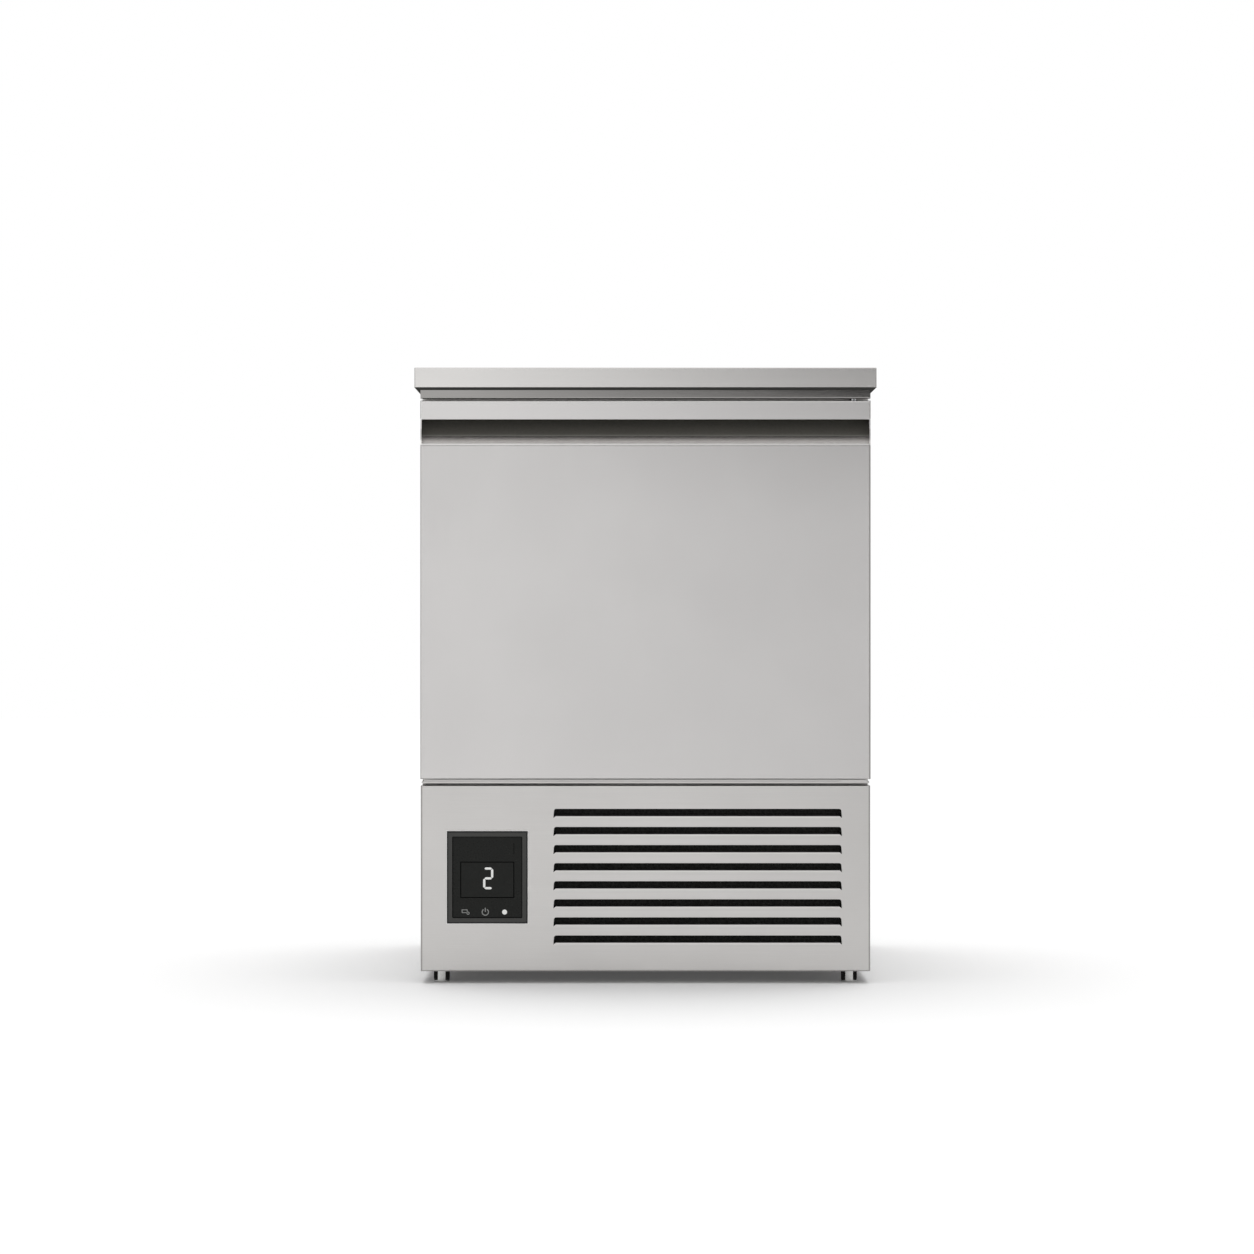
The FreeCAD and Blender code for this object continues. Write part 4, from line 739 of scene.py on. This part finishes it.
# %% Floor
FLOOR_LIFT = 1.0
FLOOR_GLOW = 0.06
FLOOR_MIRRORED = 0.93
FLOOR_PLAIN = 0.75
HALF = 14.0
material, tree, shader = new_material("matt white studio floor", "#E8E8E8", 0.0, 0.9, Specular_IOR_Level=0.0)
seen = add(tree, "ShaderNodeLightPath").outputs
levels = {"i6": (FLOOR_PLAIN,) * 3 + (1.0,), "i7": (FLOOR_MIRRORED,) * 3 + (1.0,)}
bounced = add(tree, "ShaderNodeMix", {"data_type": "RGBA"}, Factor=seen["Is Glossy Ray"], **levels)
levels = {"i6": bounced.outputs[2], "i7": (FLOOR_LIFT,) * 3 + (1.0,)}
lifted = add(tree, "ShaderNodeMix", {"data_type": "RGBA"}, Factor=seen["Is Camera Ray"], **levels)
tree.links.new(lifted.outputs[2], shader.inputs["Base Color"])
shader.inputs["Emission Color"].default_value = (1.0, 1.0, 1.0, 1.0)
shader.inputs["Emission Strength"].default_value = FLOOR_GLOW
floor_mesh = bpy.data.meshes.new("studio_floor")
floor_mesh.from_pydata([(-HALF, -HALF, 0), (HALF, -HALF, 0), (HALF, HALF, 0), (-HALF, HALF, 0)], [], [(0, 1, 2, 3)])
floor_mesh.materials.append(material)
floor = bpy.data.objects.new("studio_floor", floor_mesh)
scene.collection.objects.link(floor)
print("floor", 2 * HALF, "m wide")

# %% [markdown]
# # Light
# The world is an even white for the camera and for reflections, which is what makes brushed steel look light and
# calm. For diffuse light it is weaker, and a very wide, soft sun above and a little behind does the rest: it lays a
# pale shadow round the base that is darkest just in front.

# %% World and soft light from above
world = bpy.data.worlds.new("studio")
scene.world = world
world.use_nodes = True
tree = world.node_tree
tree.nodes.clear()
seen = add(tree, "ShaderNodeLightPath").outputs
first = add(tree, "ShaderNodeMath", {"operation": "LESS_THAN"}, i0=seen["Diffuse Depth"], i1=0.5)
gloss = add(tree, "ShaderNodeMath", {"operation": "MULTIPLY"}, i0=seen["Is Glossy Ray"], i1=first.outputs[0])
direct = add(tree, "ShaderNodeMath", {"operation": "MAXIMUM"}, i0=seen["Is Camera Ray"], i1=gloss.outputs[0])
clear = add(tree, "ShaderNodeMath", {"operation": "MAXIMUM"}, i0=direct.outputs[0], i1=seen["Is Transmission Ray"])
level = add(tree, "ShaderNodeMapRange", Value=clear.outputs[0], To_Min=0.5, To_Max=1.0).outputs["Result"]
sky = add(tree, "ShaderNodeBackground", Color=(1.0, 1.0, 1.0, 1.0), Strength=level)
add(tree, "ShaderNodeOutputWorld", Surface=sky.outputs[0])
sun_data = bpy.data.lights.new("wide soft light from above", "SUN")
sun_data.angle = math.radians(55)
sun_data.energy = 1.6
sun = bpy.data.objects.new("wide soft light from above", sun_data)
sun.rotation_euler = (math.radians(-14), 0.0, 0.0)
sun.visible_glossy = False
scene.collection.objects.link(sun)
print("light from above", sun_data.energy)

# %% [markdown]
# Flat sheets mirror what stands behind the camera. Cards there, which only reflections see, shape the metal: a high
# one fades the lip and the header darker to the right, and a big pale one gives the door its soft slanting change.
# One on the floor in front darkens the right of the lower panel. Two at the sides draw the thin dark lines along the
# folded edges. The low camera sees each round foot mirror what stands beside it, so a small dark card stands on
# both sides of each, under the base, where no other piece sees it.

# %% Cards that only reflections see
CARD_DISTANCE = 4.3
BEHIND = cad_box[0][1] - CARD_DISTANCE


def card(name, corners, start, end, first, last):
    """Flat card whose brightness runs along X, from first at x = start to last at x = end."""
    material, tree, shader = new_material(name + " paper", "#000000", 0.0, 0.9, Specular_IOR_Level=0.0)
    where = add(tree, "ShaderNodeTexCoord").outputs["Object"]
    along = add(tree, "ShaderNodeSeparateXYZ", Vector=where).outputs["X"]
    level = add(tree, "ShaderNodeMapRange", Value=along, From_Min=start, From_Max=end, To_Min=first, To_Max=last)
    tree.links.new(level.outputs["Result"], shader.inputs["Emission Strength"])
    shader.inputs["Emission Color"].default_value = (1.0, 1.0, 1.0, 1.0)
    mesh = bpy.data.meshes.new(name)
    mesh.from_pydata(corners, [], [tuple(range(len(corners)))])
    mesh.materials.append(material)
    board = bpy.data.objects.new(name, mesh)
    board.visible_camera = False
    board.visible_diffuse = False
    board.visible_shadow = False
    scene.collection.objects.link(board)


high = [(-1.3, BEHIND, 1.006), (2.4, BEHIND, 1.006), (2.4, BEHIND, 1.7), (-1.3, BEHIND, 1.7)]
card("high_card", high, -0.45, 0.5, 1.0, 0.03)
pale = [(0.42, BEHIND, 0.98), (2.4, BEHIND, 0.98), (2.4, BEHIND, 0.01), (-0.35, BEHIND, 0.01)]
card("door_card", pale, -0.2, 1.2, 0.82, 0.84)
ground = [(0.1, -0.9, 0.001), (2.2, -0.9, 0.001), (2.6, -4.6, 0.001), (0.1, -4.6, 0.001)]
card("ground_card", ground, 0.1, 0.55, 0.93, 0.68)
EDGE_RADIUS = 1.6
for side, name in ((-1, "left_edge_card"), (1, "right_edge_card")):
    turns = [math.radians(angle) for angle in (30, 85)]
    (x0, y0), (x1, y1) = [(side * EDGE_RADIUS * math.sin(turn), -0.3 - EDGE_RADIUS * math.cos(turn))
                          for turn in turns]
    card(name, [(x0, y0, 0.0), (x1, y1, 0.0), (x1, y1, 1.6), (x0, y0, 1.6)], -9.0, 9.0, 0.2, 0.2)
for foot in ("foot_front_left", "foot_front_right"):
    foot_low, foot_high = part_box(foot)
    middle_x, middle_y = (foot_low.x + foot_high.x) / 2, (foot_low.y + foot_high.y) / 2
    for side, word in ((-1, "left"), (1, "right")):
        x, front, rear = middle_x + side * 24 * mm, middle_y - 22 * mm, middle_y + 60 * mm
        bottom, top = 0.5 * mm, 16 * mm
        corners = [(x, front, bottom), (x, rear, bottom), (x, rear, top), (x, front, top)]
        card(foot + "_" + word + "_card", corners, -9.0, 9.0, 0.01, 0.01)

# %% [markdown]
# # Camera
# The picture was taken straight on from far away: the sides don't show and the lines don't converge. The object's
# 600 mm span 462.5 of the picture's 1254 pixels, so at the front plane one pixel is 1.297 mm and the whole frame is
# 1.627 m wide. From 5 m away that asks for a lens of 111 mm on a sensor 36 mm wide.

# %% Camera
PICTURE = 1254
PIXEL = 0.6 / 462.5
DISTANCE = 5.0
CAMERA_X, CAMERA_HEIGHT = -0.024, 0.4632
camera_data = bpy.data.cameras.new("camera")
camera_data.sensor_width = 36.0
camera_data.lens = 36.0 * DISTANCE / (PICTURE * PIXEL)
camera_data.clip_end = 60.0
camera = bpy.data.objects.new("camera", camera_data)
camera.location = (CAMERA_X, cad_box[0][1] - DISTANCE, CAMERA_HEIGHT)
camera.rotation_euler = (math.radians(90), 0.0, 0.0)
scene.collection.objects.link(camera)
scene.camera = camera
scene.view_settings.view_transform = "Standard"
print("lens", round(camera_data.lens, 1), "mm")
